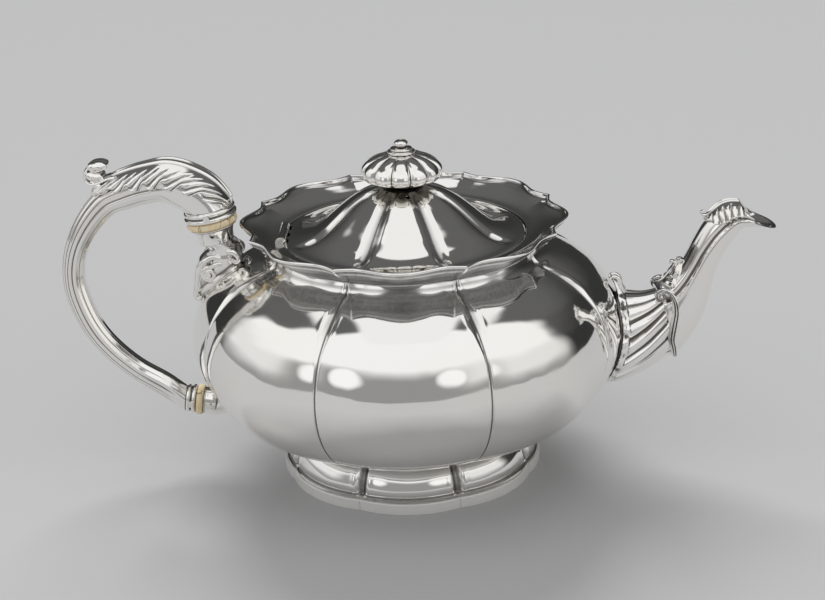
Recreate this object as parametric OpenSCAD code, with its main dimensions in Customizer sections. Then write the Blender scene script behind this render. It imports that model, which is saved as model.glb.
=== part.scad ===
// Lobed teapot on a spreading foot: a melon body of eight lobes, a leaf-capped spout, a hinged
// lid with a melon finial, and a hollow scroll handle held off the heat by two insulating discs.
// Millimetres. +Z is up and the table is Z = 0; the spout points to +X and the handle to -X.
// Soldered seats are drawn with a small gap between the two pieces, so every piece stands alone.

/* [Body] */
// Number of lobes round the body, foot, rim and lid
lobes = 8; // [6:1:12]
// Radius of the body at its widest, on the crown of a lobe
body_r = 86.8; // [80:0.5:94]
// Height of the widest level above the table
body_mid_z = 58.5; // [54:0.5:64]
// Radius of a crease between two lobes, as a share of the crown radius
crease_share = 0.968; // [0.94:0.002:0.985]
// Height of the neck, where the rim is soldered on
neck_z = 95.6; // [90:0.2:101]
// Radius of the flat base that the foot is soldered to
base_r = 41.5; // [38:0.5:45]
// Wall of the raised silver sheet
wall = 0.9; // [0.7:0.1:1.8]

/* [Foot] */
// Height of the foot from the table to the base of the body
foot_h = 20; // [17:0.5:24]
// Radius of the foot band, on the crown of a lobe
foot_r = 52.8; // [49:0.2:58]
// Height of the upright band along the foot's edge
band_h = 4.5; // [3:0.1:6]
// Thickness of the upright band
band_t = 1.8; // [1.2:0.1:2.4]

/* [Rim and lid] */
// Width of the rim's floor, from the edge of the lid out to the neck under the rim
neck_out = 6; // [4.5:0.1:9]
// Flare of the rim, from the neck out to its edge on the crown of a panel
rim_flare = 11.2; // [9:0.2:14]
// Height of the rim edge above the neck joint
rim_h = 9; // [7:0.2:12]
// Radius of the lid at its edge
lid_r = 48; // [44:0.2:52]
// Height of the lid dome above its edge
lid_h = 19.6; // [15:0.2:24]
// Sheet thickness of the lid
lid_t = 1; // [0.8:0.1:1.4]
// Depth of the bezel ring under the lid
bezel_h = 5.5; // [3:0.5:8]
// Gap between the lid and the rim that it sits in
lid_gap = 0.35; // [0.3:0.05:0.6]
// Diameter of the steam hole in the lid
vent_d = 1.8; // [1:0.1:3]

/* [Hinge] */
// Diameter of a hinge knuckle
knuckle_d = 4.4; // [3.6:0.1:5.2]
// Length of the whole hinge
hinge_l = 20; // [14:1:26]
// Number of knuckles, odd so that both ends belong to the rim
knuckles = 5; // [3:2:7]
// Diameter of the hinge pin
hinge_pin_d = 1.6; // [1.2:0.1:2]
// Clearance all round the hinge pin
pin_fit = 0.05; // [0.02:0.01:0.1]

/* [Finial] */
// Radius of the melon finial
finial_r = 16; // [12:0.2:18]
// Height of the melon from its flat underside to its collar
finial_h = 12.6; // [9:0.2:16]
// Number of lobes round the finial
finial_lobes = 12; // [8:1:16]
// Radius of the stem between the lid and the finial
stem_r = 8.5; // [6:0.5:10]
// Diameter of the threaded stud that holds the finial
stud_d = 3; // [2:0.1:4]

/* [Spout] */
// Distance from the crown of the body to the tip of the lip
spout_reach = 60; // [54:1:68]
// Height of the middle of the spout's root
spout_root_z = 52; // [50:0.5:55]
// Height of the mouth above the middle of the root
spout_rise = 48.7; // [44:0.5:54]
// Half height of the spout's root where it meets the body
root_h = 19.4; // [17:0.2:21]
// Wall of the spout
spout_wall = 1.2; // [0.8:0.1:1.6]
// Number of flutes round the root
spout_flutes = 14; // [8:1:20]
// Diameter of the opening through the body into the spout
strainer_d = 26; // [20:1:28]
// Diameter of one strainer hole
strainer_hole_d = 2.4; // [1.5:0.1:3]

/* [Handle] */
// Distance from the crown of the body to the outside of the handle
handle_reach = 51; // [46:1:58]
// Height of the middle of the upper insulator above the body's neck
upper_z = 9.6; // [7.4:0.2:12.4]
// Distance of the upper insulator's middle out from the rim's edge
upper_out = 10.7; // [9.8:0.1:13]
// Lean of the upper joint towards the handle
upper_lean = 10; // [6:1:14]
// Height of the middle of the lower insulator
lower_z = 27.9; // [26:0.2:30]
// Distance of the lower insulator's middle in from the crown of the body
lower_inset = 0.5; // [-2:0.1:2]
// Dip of the lower joint towards the body
lower_dip = 8; // [4:1:12]
// Radius of the upper insulator
upper_disc_r = 10.2; // [9:0.1:11.5]
// Radius of the lower insulator
lower_disc_r = 6.3; // [5.8:0.1:7.4]
// Thickness of an insulating disc
disc_t = 3.2; // [2.4:0.1:4.2]
// Diameter of the tenon on each side of the upper insulator
upper_tenon_d = 9; // [7:0.1:10]
// Diameter of the tenon on each side of the lower insulator
lower_tenon_d = 6.4; // [5:0.1:7]
// Length of a tenon
tenon_l = 6; // [4:0.5:6.5]
// Radius of the handle at its upper end
handle_top_r = 9.1; // [8:0.1:9.4]
// Radius of the handle at its lower end
handle_low_r = 5.3; // [4.8:0.1:5.8]
// Wall of the hollow handle
handle_wall = 1; // [0.8:0.1:1.4]
// Diameter of the pins through the ferrules, sockets and tenons
pin_d = 1.6; // [1.2:0.1:2]

/* [Hidden] */

// radii of the neck under the rim and of the rim's edge
neck_r = lid_r + neck_out;
rim_r = neck_r + rim_flare;

$fn = 48;
silver = [0.78, 0.78, 0.77];
silver_dark = [0.66, 0.66, 0.66];
ivory = [0.88, 0.8, 0.6];

// gap of a soldered or pinned seat, and overrun of a cutting tool
solder = 0.05;
cut = 1;
half_lobe = 180 / lobes;
// segments round a lobed piece
around = lobes * 8;
rim_around = lobes * 12;

// ---- forms shared by several pieces ----

// Shares that shape the body between its widest level and its neck, and down to its base
shoulder_in = 1.58;
shoulder_up = 1.03;
belly_in = 1;
belly_down = 0.95;

function sq(v) = v * v;
function mix(a, b, t) = a + (b - a) * t;

// angle from the crown of the nearest lobe
function off_crown(a, n) = let (w = 360 / n) (a + 3600 + w / 2) % w - w / 2;

// outline of n arcs that bulge to 1 on their crowns and meet in creases at k
function lobed(a, n, k) =
    let (b = off_crown(a, n), c = cos(180 / n), d = (1 - k * k) / (2 * (1 - k * c)))
    d * cos(b) + sqrt(sq(1 - d) - sq(d * sin(b)));

// outline of a rim panel: a bulge, a dip beside it and a flare out to a small point
dip_at = 0.7;
dip_depth = 0.06;
point_share = 0.982;
function bracketed(a) =
    let (t = abs(off_crown(a, lobes)) / half_lobe)
    t < dip_at
        ? 1 - dip_depth * sq(sin(90 * t / dip_at))
        : mix(1 - dip_depth, point_share, pow((t - dip_at) / (1 - dip_at), 1.6));

// crown radius of a body of widest radius r, at height z
function body_radius(z, r = body_r, n = neck_r, b = base_r) =
    z > body_mid_z
        ? let (s = min(1, pow((z - body_mid_z) / (neck_z - body_mid_z), 2 / shoulder_up)))
          mix(n, r, pow(1 - s, shoulder_in / 2))
        : let (s = min(1, pow((body_mid_z - z) / (body_mid_z - foot_h), 2 / belly_down)))
          mix(b, r, pow(1 - s, belly_in / 2));

// height of the body's shoulder over the point x, y
function shoulder_z(x, y) =
    let (r = norm([x, y]) / lobed(atan2(y, x), lobes, crease_share),
         c = pow(max(0, min(1, (r - neck_r) / (body_r - neck_r))), 1 / shoulder_in))
    mix(body_mid_z, neck_z, pow(1 - c * c, shoulder_up / 2));

// distance of the body's surface from the Z axis along X, at y and z
function body_x(y, z) =
    let (r0 = body_radius(z),
         r1 = r0 * lobed(atan2(y, r0), lobes, crease_share),
         x1 = sqrt(sq(r1) - y * y),
         r2 = r0 * lobed(atan2(y, x1), lobes, crease_share))
    sqrt(sq(r2) - y * y);

// one ring of a lobed piece: crown radius r, height z, crease share k
function ring(r, z, k) =
    [for (i = [0:around - 1]) let (a = 360 * i / around, q = r * lobed(a, lobes, k))
        [q * cos(a), q * sin(a), z]];

// a closed solid through rings of equally many points; a loop joins its last ring to its first
module skin(rings, loop = false) {
    n = len(rings[0]);
    m = len(rings);
    spans = loop ? m : m - 1;
    sides = [for (j = [0:spans - 1], i = [0:n - 1], half = [0, 1])
        let (a = j * n + i, b = j * n + (i + 1) % n,
             c = ((j + 1) % m) * n + i, d = ((j + 1) % m) * n + (i + 1) % n)
        half == 0 ? [a, c, b] : [b, c, d]];
    ends = loop ? [] : [[for (i = [0:n - 1]) i], [for (i = [n - 1:-1:0]) (m - 1) * n + i]];
    polyhedron(points = [for (r = rings) each r], faces = concat(sides, ends), convexity = 8);
}

// smooth curve through rows of numbers, steps points to each span
function curve_row(p, i, t) =
    let (n = len(p) - 1, a = p[max(0, i - 1)], b = p[i], c = p[min(n, i + 1)], d = p[min(n, i + 2)])
    b + (c - a) * t / 2 + (2 * a - 5 * b + 4 * c - d) * t * t / 2
        + (3 * b - a - 3 * c + d) * t * t * t / 2;
function curve(p, steps) =
    concat([for (i = [0:len(p) - 2], k = [0:steps - 1]) curve_row(p, i, k / steps)],
        [p[len(p) - 1]]);

// ring across a tube in the XZ plane. A station is [x, z, slope of the tube, half height,
// half width]; grow adds to both halves; from and to are angles round the ring, 0 on the
// side that lies to the left of the tube's run
function tube_ring(s, n, grow = 0, from = 0, to = 360, closed = true, ribs = 0, depth = 0) =
    [for (i = [0:n - (closed ? 1 : 0)])
        let (f = mix(from, to, i / n),
             rib = 1 - depth * abs(sin(ribs * f / 2)),
             h = (s[3] + grow) * rib * cos(f),
             w = (s[4] + grow) * rib * sin(f))
        [s[0] - h * sin(s[2]), -w, s[1] + h * cos(s[2])]];

// axes of the two handle joints: s runs from the body towards the handle
upper_x = -(rim_r + upper_out);
upper_mid_z = neck_z + upper_z;
lower_x = -(body_r - lower_inset);
function upper_at(s) = [upper_x - s * sin(upper_lean), 0, upper_mid_z + s * cos(upper_lean)];
function lower_at(s) = [lower_x - s * cos(lower_dip), 0, lower_z + s * sin(lower_dip)];
module on_upper(s = 0) translate(upper_at(s)) rotate([0, -upper_lean, 0]) children();
module on_lower(s = 0) translate(lower_at(s)) rotate([0, lower_dip - 90, 0]) children();

// ---- body and foot ----

body_rings = 15;
// Steps of the body's rings, closer together near the neck and the base
function body_levels(low, high) =
    [for (i = [0:body_rings]) mix(low, high, (1 - cos(180 * i / body_rings)) / 2)];

module body() {
    outer = [for (z = body_levels(foot_h, neck_z)) ring(body_radius(z), z, crease_share)];
    inner = [for (z = body_levels(foot_h, neck_z))
        ring(body_radius(z, body_r - wall, neck_r - wall, base_r - wall),
            min(neck_z, max(z, foot_h + wall)), crease_share)];
    color(silver)
    difference() {
        skin(concat(outer, [for (i = [body_rings:-1:0]) inner[i]]));
        translate([body_r - strainer_inset - cut * 6, 0, spout_root_z])
        rotate([0, 90, 0])
        cylinder(d = strainer_d, h = strainer_inset + cut * 12);
    }
}

// depth of the strainer behind the crown of the body
strainer_inset = 3.6;

module strainer() {
    rows = 2;
    pitch = strainer_hole_d * 1.8;
    color(silver_dark)
    translate([body_r - strainer_inset, 0, spout_root_z])
    rotate([0, 90, 0])
    difference() {
        cylinder(d = strainer_d - 2 * solder, h = wall);
        for (row = [0:rows])
            for (i = [0:max(0, row * 6 - 1)])
                rotate(row == 0 ? 0 : 360 * i / (row * 6))
                translate([row * pitch, 0, -cut])
                cylinder(d = strainer_hole_d, h = wall + 2 * cut, $fn = 24);
    }
}

// crease share of the foot's edge and its band
foot_share = 0.975;

module foot() {
    // fractions down and out from the base of the body to the band, with the crease shares
    form = [[0, 0, crease_share], [0.06, 0.02, 0.96], [0.16, 0.14, 0.95], [0.3, 0.42, 0.935],
        [0.5, 0.72, 0.935], [0.74, 0.92, 0.95], [0.92, 0.98, 0.965], [1, 1, foot_share]];
    top = foot_h - solder;
    low = band_h + solder;
    out = foot_r - 0.9;
    outer = [for (f = form) ring(mix(base_r, out, f[1]), mix(top, low, f[0]), f[2])];
    inner = [for (f = form) ring(mix(base_r, out, f[1]) - wall, mix(top, low, f[0]), f[2])];
    color(silver)
    skin(concat([for (i = [len(form) - 1:-1:0]) outer[i]], inner), loop = true);
}

// outline of a lobed ring as flat points
function lobe_outline(r, k) = [for (p = ring(r, 0, k)) [p[0], p[1]]];

module foot_band() {
    lip = 0.4;
    // an upright ring from outer radius r inwards, height h, from level z
    module hoop(r, z, h)
        translate([0, 0, z])
        linear_extrude(h)
        difference() {
            polygon(lobe_outline(r, foot_share));
            polygon(lobe_outline(foot_r - band_t, foot_share));
        }
    color(silver)
    union() {
        hoop(foot_r, 0, band_h - lip);
        hoop(foot_r - lip, band_h - lip, lip);
    }
}

// ---- rim, lid and finial ----

ledge_w = 2.5;
ledge_t = 1;
edge_z = neck_z + 1.9;
lid_top_z = edge_z + lid_h;
notch_l = hinge_l + 0.8;
rim_notch = 2.8;
lid_notch = 2.9;
hinge_z = edge_z + lid_t - 0.1;
hinge_x = -(lid_r + 0.2);

// ring of the rim: radius, height, and how much of the body's lobes and of the panels it has
function rim_ring(r, z, as_lobe, as_panel) =
    [for (i = [0:rim_around - 1])
        let (a = 360 * i / rim_around,
             q = r * (1 + as_lobe * (lobed(a, lobes, crease_share) - 1)
                 + as_panel * (bracketed(a) - 1)))
        [q * cos(a), q * sin(a), z]];

module rim_border() {
    low = neck_z + solder;
    top = neck_z + rim_h;
    seat = lid_r + lid_gap;
    floor_z = edge_z + lid_t;
    out = rim_r - neck_r;
    color(silver)
    difference() {
        skin([
            rim_ring(neck_r, low, 1, 0),
            rim_ring(neck_r + out * 0.14, low + rim_h * 0.14, 0.8, 0.1),
            rim_ring(neck_r + out * 0.45, low + rim_h * 0.4, 0.4, 0.45),
            rim_ring(neck_r + out * 0.8, low + rim_h * 0.72, 0, 0.9),
            rim_ring(rim_r, top - 0.9, 0, 1),
            rim_ring(rim_r + 0.3, top - 0.3, 0, 1),
            rim_ring(rim_r - 0.5, top, 0, 1),
            rim_ring(rim_r - 1.4, top - 0.5, 0, 1),
            rim_ring(mix(seat, rim_r, 0.7), mix(floor_z, top, 0.5), 0, 0.75),
            rim_ring(mix(seat, rim_r, 0.35), mix(floor_z, top, 0.14), 0, 0.3),
            rim_ring(seat, floor_z, 0, 0),
            rim_ring(seat, edge_z - lid_gap, 0, 0),
            rim_ring(lid_r - ledge_w, edge_z - lid_gap, 0, 0),
            rim_ring(lid_r - ledge_w, edge_z - lid_gap - ledge_t, 0, 0),
            rim_ring(seat, edge_z - lid_gap - ledge_t, 0, 0),
            rim_ring(neck_r - wall, low, 1, 0)], loop = true);
        translate([hinge_x - rim_notch, -notch_l / 2, edge_z - 5])
        cube([ledge_w + 6, notch_l, 12]);
    }
}

// crown profile of the lid from its edge inwards: shares of its radius and of its height,
// with the crease share there
lid_form = [[1, 0, 1], [0.94, 0.015, 1], [0.86, 0.055, 0.985], [0.77, 0.15, 0.965],
    [0.68, 0.3, 0.95], [0.59, 0.48, 0.94], [0.5, 0.645, 0.94], [0.41, 0.79, 0.945],
    [0.32, 0.9, 0.955], [0.23, 0.97, 0.97], [0.14, 1, 1]];

// distance of the steam hole out from the stem
vent_out = 4;

module lid() {
    last = len(lid_form) - 1;
    outer = [for (f = lid_form) ring(lid_r * f[0], mix(edge_z + lid_t, lid_top_z, f[1]), f[2])];
    inner = [for (f = lid_form) ring((lid_r - lid_t * 0.6) * f[0], mix(edge_z, lid_in_z, f[1]), f[2])];
    color(silver)
    difference() {
        skin(concat([for (i = [last:-1:0]) inner[i]], [ring(lid_r - 0.1, edge_z, 1)], outer));
        translate([0, 0, lid_in_z - cut]) cylinder(d = stud_d + 2 * solder, h = 4, $fn = 32);
        translate([0, -stem_r - vent_out, edge_z]) cylinder(d = vent_d, h = lid_h + 2 * cut, $fn = 24);
        translate([hinge_x - cut * 4, -notch_l / 2, edge_z - 5])
        cube([cut * 4 + lid_notch, notch_l, 12]);
    }
}

module lid_bezel() {
    outer_r = lid_r - ledge_w - 0.8;
    color(silver)
    difference() {
        translate([0, 0, edge_z - bezel_h]) cylinder(r = outer_r, h = bezel_h - solder, $fn = 96);
        translate([0, 0, edge_z - bezel_h - cut])
        cylinder(r = outer_r - 1, h = bezel_h + 2 * cut, $fn = 96);
        translate([hinge_x - cut, -notch_l / 2 - 1, edge_z - bezel_h - cut])
        cube([ledge_w + 12, notch_l + 2, bezel_h + 2 * cut]);
    }
}

finial_z = lid_top_z + 1.2;

module finial_stem() {
    color(silver_dark)
    translate([0, 0, lid_top_z + solder])
    rotate_extrude()
    difference() {
        polygon([[0, 0], [stem_r - 1.6, 0], [stem_r - 2.4, 0.5], [stem_r, 1.1],
            [stem_r, 1.2 - 2 * solder], [0, 1.2 - 2 * solder]]);
        translate([0, -cut]) square([stud_d / 2 + solder, 4]);
    }
}

module finial() {
    // shares of height and radius up the melon, with the crease share there
    form = [[0, 0.92, 0.95], [0.06, 0.97, 0.93], [0.2, 1, 0.91], [0.38, 0.98, 0.905],
        [0.56, 0.9, 0.905], [0.74, 0.76, 0.91], [0.9, 0.56, 0.93], [1, 0.34, 0.96]];
    n = finial_lobes * 6;
    color(silver)
    difference() {
        skin([for (f = form)
            [for (i = [0:n - 1])
                let (a = 360 * i / n, q = finial_r * f[1] * lobed(a, finial_lobes, f[2]))
                [q * cos(a), q * sin(a), finial_z + finial_h * f[0]]]]);
        translate([0, 0, finial_z - cut]) cylinder(d = stud_d + 2 * solder, h = 8, $fn = 32);
    }
}

module finial_button() {
    base_z = finial_z + finial_h + solder;
    color(silver_dark)
    translate([0, 0, base_z])
    rotate_extrude()
    polygon([[0, 0], [4.6, 0], [5.6, 0.5], [4.8, 1.0], [4.2, 1.1], [4.6, 1.7], [3.4, 2.1],
        [1.9, 2.3], [2.7, 2.8], [2.9, 3.7], [2.6, 4.5], [1.8, 4.9], [0, 5]]);
}

// levels of the stud, washer and nut, all under the top of the lid
nut_h = 2.2;
washer_h = 0.6;
lid_in_z = lid_top_z - lid_t * 1.3;

module finial_stud() {
    low = lid_in_z - washer_h - nut_h - 1.5;
    color(silver_dark)
    translate([0, 0, low]) cylinder(d = stud_d, h = finial_z + 6 - low, $fn = 32);
}

module finial_washer() {
    color(silver_dark)
    translate([0, 0, lid_in_z - washer_h - solder])
    difference() {
        cylinder(d = stud_d + 6, h = washer_h);
        translate([0, 0, -cut]) cylinder(d = stud_d + 2 * solder, h = washer_h + 2 * cut);
    }
}

module finial_nut() {
    color(silver_dark)
    translate([0, 0, lid_in_z - washer_h - nut_h - 2 * solder])
    difference() {
        cylinder(d = stud_d + 4, h = nut_h, $fn = 6);
        translate([0, 0, -cut]) cylinder(d = stud_d + 2 * solder, h = nut_h + 2 * cut);
    }
}

// ---- hinge ----

knuckle_gap = 0.3;
leaf_t = 1;

// knuckles number first, first + 2, ... with their leaves, on the hinge axis
module knuckle_set(first, reach) {
    pitch = hinge_l / knuckles;
    translate([hinge_x, 0, hinge_z])
    for (i = [first:2:knuckles - 1])
        translate([0, -hinge_l / 2 + i * pitch + knuckle_gap / 2, 0])
        difference() {
            union() {
                rotate([-90, 0, 0]) cylinder(d = knuckle_d, h = pitch - knuckle_gap, $fn = 40);
                translate([min(0, reach), 0, -leaf_t])
                cube([abs(reach), pitch - knuckle_gap, leaf_t]);
            }
            translate([0, -cut, 0])
            rotate([-90, 0, 0])
            cylinder(d = hinge_pin_d + 2 * pin_fit, h = pitch + 2 * cut, $fn = 32);
        }
}

module hinge_rim_knuckles() color(silver_dark) knuckle_set(0, -(rim_notch - solder));
module hinge_lid_knuckles() color(silver_dark) knuckle_set(1, lid_notch - solder);

module hinge_pin() {
    color(silver_dark)
    translate([hinge_x, -hinge_l / 2, hinge_z])
    rotate([-90, 0, 0])
    cylinder(d = hinge_pin_d, h = hinge_l, $fn = 32);
}

// ---- spout ----

// stations of the spout: shares of reach and rise, slope, then half height and half width as
// shares of the root's half height
function spout_at(x, z, slope, h, w) =
    [body_r + spout_reach * x, spout_root_z + spout_rise * z, slope, root_h * h, root_h * w];
band_station = spout_at(0.295, 0.133, 12, 0.804, 0.546);
neck_form = [
    band_station,
    spout_at(0.392, 0.3, 42, 0.577, 0.464),
    spout_at(0.453, 0.465, 62, 0.443, 0.402),
    spout_at(0.498, 0.6, 66, 0.371, 0.366),
    spout_at(0.555, 0.758, 63, 0.351, 0.351),
    spout_at(0.622, 0.895, 52, 0.351, 0.345),
    spout_at(0.71, 1.01, 38, 0.32, 0.345),
    spout_at(0.797, 1.03, 18, 0.247, 0.345),
    spout_at(0.917, 1.0, 49.8, 0.325, 0.34)];
neck_steps = 2;
root_sides = 56;
neck_sides = 24;
root_w = root_h * 0.825;

// ring of the root that lies on the body, half height h and half width w
function root_seat(h, w) =
    [for (i = [0:root_sides - 1])
        let (f = 360 * i / root_sides, z = spout_root_z + h * cos(f), y = -w * sin(f))
        [body_x(y, z) + solder, y, z]];

// the outer stations of the root from the body to the band
root_form = [
    spout_at(0.05, 0.01, 3, 0.912, 0.742),
    spout_at(0.13, 0.03, 8, 0.856, 0.67),
    spout_at(0.22, 0.078, 11, 0.82, 0.603),
    band_station];

module spout_root() {
    flute = 0.07;
    last = len(root_form) - 1;
    outer = concat([root_seat(root_h, root_w)],
        [for (i = [0:last - 1])
            tube_ring(root_form[i], root_sides, ribs = spout_flutes, depth = flute)],
        [tube_ring(root_form[last], root_sides)]);
    inner = [tube_ring(root_form[last], root_sides, -spout_wall),
        tube_ring(root_form[1], root_sides, -spout_wall * 2),
        root_seat(root_h - spout_wall * 2, root_w - spout_wall * 2)];
    color(silver)
    skin(concat(outer, inner), loop = true);
}

// the first ring of the neck stands a soldered gap off the root
function neck_stations() =
    let (c = curve(neck_form, neck_steps))
    concat([c[0] + [solder * cos(c[0][2]), solder * sin(c[0][2]), 0, 0, 0]],
        [for (i = [1:len(c) - 1]) c[i]]);

module spout_neck() {
    stations = neck_stations();
    last = len(stations) - 1;
    outer = [for (s = stations) tube_ring(s, neck_sides)];
    inner = [for (i = [last:-1:0]) tube_ring(stations[i], neck_sides, -spout_wall)];
    color(silver)
    skin(concat(outer, inner), loop = true);
}

module spout_scrolls() {
    // hoop over the joint of root and neck, and a volute on each cheek
    proud = 1.2;
    neck = neck_stations();
    run = [mix(band_station, root_form[2], 0.4), band_station, mix(neck[0], neck[1], 0.3)];
    // the volutes roll along Y on the crown of the root, just behind the hoop
    volute_r = 2.6;
    v = root_form[2];
    rise = v[3] * 0.97 + volute_r + solder;
    color(silver_dark) {
        skin(concat([for (s = run) tube_ring(s, root_sides, proud)],
            [for (i = [2:-1:0]) tube_ring(run[i], root_sides, leaf_seat)]), loop = true);
        for (side = [-1, 1])
            translate([v[0] - rise * sin(v[2]), side * 4.6, v[1] + rise * cos(v[2])])
            rotate([90, 0, 0])
            cylinder(r = volute_r, h = 3.2, center = true);
    }
}

// ring of a leaf that wraps a tube by wrap each way from the angle mid: out along its face,
// back beneath, clear of the tube by leaf_seat
leaf_seat = 0.25;
function leaf_ring(s, mid, wrap, n, proud) =
    concat(tube_ring(s, n, proud, mid - wrap, mid + wrap, closed = false),
        tube_ring(s, n, leaf_seat, mid + wrap, mid - wrap, closed = false));

module spout_leaf() {
    stations = curve([for (i = [5:8]) neck_form[i]], 3);
    wraps = [30, 55, 68, 74, 78, 80, 76, 66];
    color(silver_dark)
    skin([for (i = [0:len(wraps) - 1]) leaf_ring(stations[i], 0, wraps[i], 12, 1.3)]);
}

// ---- handle joints ----

upper_socket_l = 6.5;
lower_socket_l = 5;
ferrule_l = 4.2;
half_disc = disc_t / 2;

// insulating disc with a rounded rim, a tenon on each side and a cross hole through each
module insulator(r, tenon) {
    color(ivory)
    difference() {
        union() {
            rotate_extrude()
            polygon([[0, -half_disc], [r - 0.7, -half_disc], [r, -half_disc + 0.7],
                [r, half_disc - 0.7], [r - 0.7, half_disc], [0, half_disc]]);
            translate([0, 0, -half_disc - tenon_l]) cylinder(d = tenon, h = 2 * tenon_l + disc_t);
        }
        for (s = [-1, 1])
            translate([0, 0, s * (half_disc + pin_up)])
            rotate([90, 0, 0])
            cylinder(d = pin_d + 2 * solder, h = tenon + 2 * cut, center = true, $fn = 24);
    }
}

// distance of a pin from the face of its disc
pin_up = 2.1;

module upper_insulator() on_upper() insulator(upper_disc_r, upper_tenon_d);
module lower_insulator() on_lower() insulator(lower_disc_r, lower_tenon_d);

// length of a ferrule's spigot, and its room inside the handle, which curves away at once
spigot_l = 1;
spigot_gap = 1;

// turned ferrule of two mouldings, with a spigot that enters the handle
module ferrule(r, tenon, spigot_r) {
    l = ferrule_l;
    color(silver)
    translate([0, 0, half_disc + solder])
    difference() {
        rotate_extrude()
        polygon([[0, 0], [r, 0], [r + 0.3, l * 0.12], [r + 0.3, l * 0.35], [r - 0.4, l * 0.48],
            [r, l * 0.6], [r, l * 0.82], [r - 0.7, l], [spigot_r, l], [spigot_r, l + spigot_l],
            [0, l + spigot_l]]);
        translate([0, 0, -cut]) cylinder(d = tenon + 2 * solder, h = l + spigot_l + 2 * cut);
        translate([0, 0, pin_up - solder])
        rotate([90, 0, 0])
        cylinder(d = pin_d + 2 * solder, h = 3 * r, center = true, $fn = 24);
    }
}

module upper_ferrule()
    on_upper() ferrule(upper_disc_r, upper_tenon_d, handle_top_r - handle_wall - spigot_gap);
module lower_ferrule()
    on_lower() ferrule(lower_disc_r - 0.9, lower_tenon_d, handle_low_r - handle_wall - spigot_gap * 0.7);

// turned cup of a socket, length l from the disc towards the body, waist radius w
module socket(r, w, l, tenon) {
    color(silver)
    translate([0, 0, -half_disc - solder - l])
    difference() {
        rotate_extrude()
        polygon([[0, 0], [w, 0], [mix(w, r, 0.12), l * 0.3], [mix(w, r, 0.34), l * 0.6],
            [mix(w, r, 0.7), l * 0.85], [r, l], [0, l]]);
        translate([0, 0, -cut]) cylinder(d = tenon + 2 * solder, h = l + 2 * cut);
        translate([0, 0, l - pin_up])
        rotate([90, 0, 0])
        cylinder(d = pin_d + 2 * solder, h = 3 * r, center = true, $fn = 24);
    }
}

upper_waist = 7;
lower_waist = 5.4;
module upper_socket() on_upper() socket(upper_disc_r - 1.2, upper_waist, upper_socket_l, upper_tenon_d);
module lower_socket() on_lower() socket(lower_disc_r - 0.4, lower_waist, lower_socket_l, lower_tenon_d);

mount_sides = 32;
mount_wall = 1.2;
upper_end = half_disc + upper_socket_l + 2 * solder;
lower_end = half_disc + lower_socket_l + 2 * solder;

// ring of radius r about the centre c, leaning by lean in the XZ plane
function mount_ring(c, r, lean) =
    [for (i = [0:mount_sides - 1])
        let (a = 360 * i / mount_sides)
        [c[0] + r * cos(a) * cos(lean), -r * sin(a), c[2] + r * cos(a) * sin(lean)]];

// ring on the shoulder under the upper socket
function shoulder_ring(x, rx, ry) =
    [for (i = [0:mount_sides - 1])
        let (a = 360 * i / mount_sides, px = x + rx * cos(a), py = -ry * sin(a))
        [px, py, shoulder_z(px, py) + solder]];

module upper_socket_mount() {
    c = upper_at(-upper_end);
    waist_x = upper_x + upper_waist * 0.6;
    foot_x = upper_x + upper_waist * 0.486;
    flare_x = upper_waist * 1.486;
    flare_y = upper_waist * 1.286;
    high = shoulder_z(waist_x, 0);
    outer = [mount_ring(c, upper_waist, upper_lean),
        mount_ring([waist_x - 0.6, 0, mix(high, c[2], 0.72)], upper_waist - 0.6, 6),
        mount_ring([waist_x, 0, mix(high, c[2], 0.5)], upper_waist - 0.5, 3),
        shoulder_ring(foot_x, flare_x, flare_y)];
    inner = [shoulder_ring(foot_x, flare_x - mount_wall * 2, flare_y - mount_wall * 2),
        mount_ring([waist_x, 0, mix(high, c[2], 0.5)], upper_waist - 0.5 - mount_wall, 3),
        mount_ring([waist_x - 0.6, 0, mix(high, c[2], 0.72)], upper_waist - 0.6 - mount_wall, 6),
        mount_ring(c, upper_waist - mount_wall, upper_lean)];
    color(silver)
    skin(concat(outer, inner), loop = true);
}

// ring across the lower socket's run, upright, leaning by dip
function cross_ring(c, r, dip) =
    [for (i = [0:mount_sides - 1])
        let (a = 360 * i / mount_sides)
        [c[0] + r * cos(a) * sin(dip), -r * sin(a), c[2] + r * cos(a) * cos(dip)]];

// ring on the belly under the lower socket
function belly_ring(z, rz, ry) =
    [for (i = [0:mount_sides - 1])
        let (a = 360 * i / mount_sides, py = -ry * sin(a), pz = z + rz * cos(a))
        [-body_x(py, pz) - solder, py, pz]];

module lower_socket_mount() {
    // a short straight neck, then the flare on the belly
    c = lower_at(-lower_end);
    n = lower_at(-lower_end - lower_waist * 0.15);
    z = lower_z + lower_waist * 0.28;
    flare_z = lower_waist * 1.37;
    flare_y = lower_waist * 1.444;
    outer = [cross_ring(c, lower_waist, lower_dip), cross_ring(n, lower_waist, lower_dip),
        belly_ring(z, flare_z, flare_y)];
    inner = [belly_ring(z, flare_z - mount_wall, flare_y - mount_wall),
        cross_ring(n, lower_waist - mount_wall, lower_dip),
        cross_ring(c, lower_waist - mount_wall, lower_dip)];
    color(silver)
    skin(concat(outer, inner), loop = true);
}

// pins through the ferrules and sockets; the one in the upper socket is driven below flush
module cross_pin(l, headed) {
    rotate([90, 0, 0])
    union() {
        cylinder(d = pin_d, h = l, center = true, $fn = 24);
        if (headed)
            for (s = [-1, 1])
                translate([0, 0, s * (l / 2)])
                cylinder(d = pin_d + 1, h = 0.8, center = true, $fn = 24);
    }
}

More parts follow.
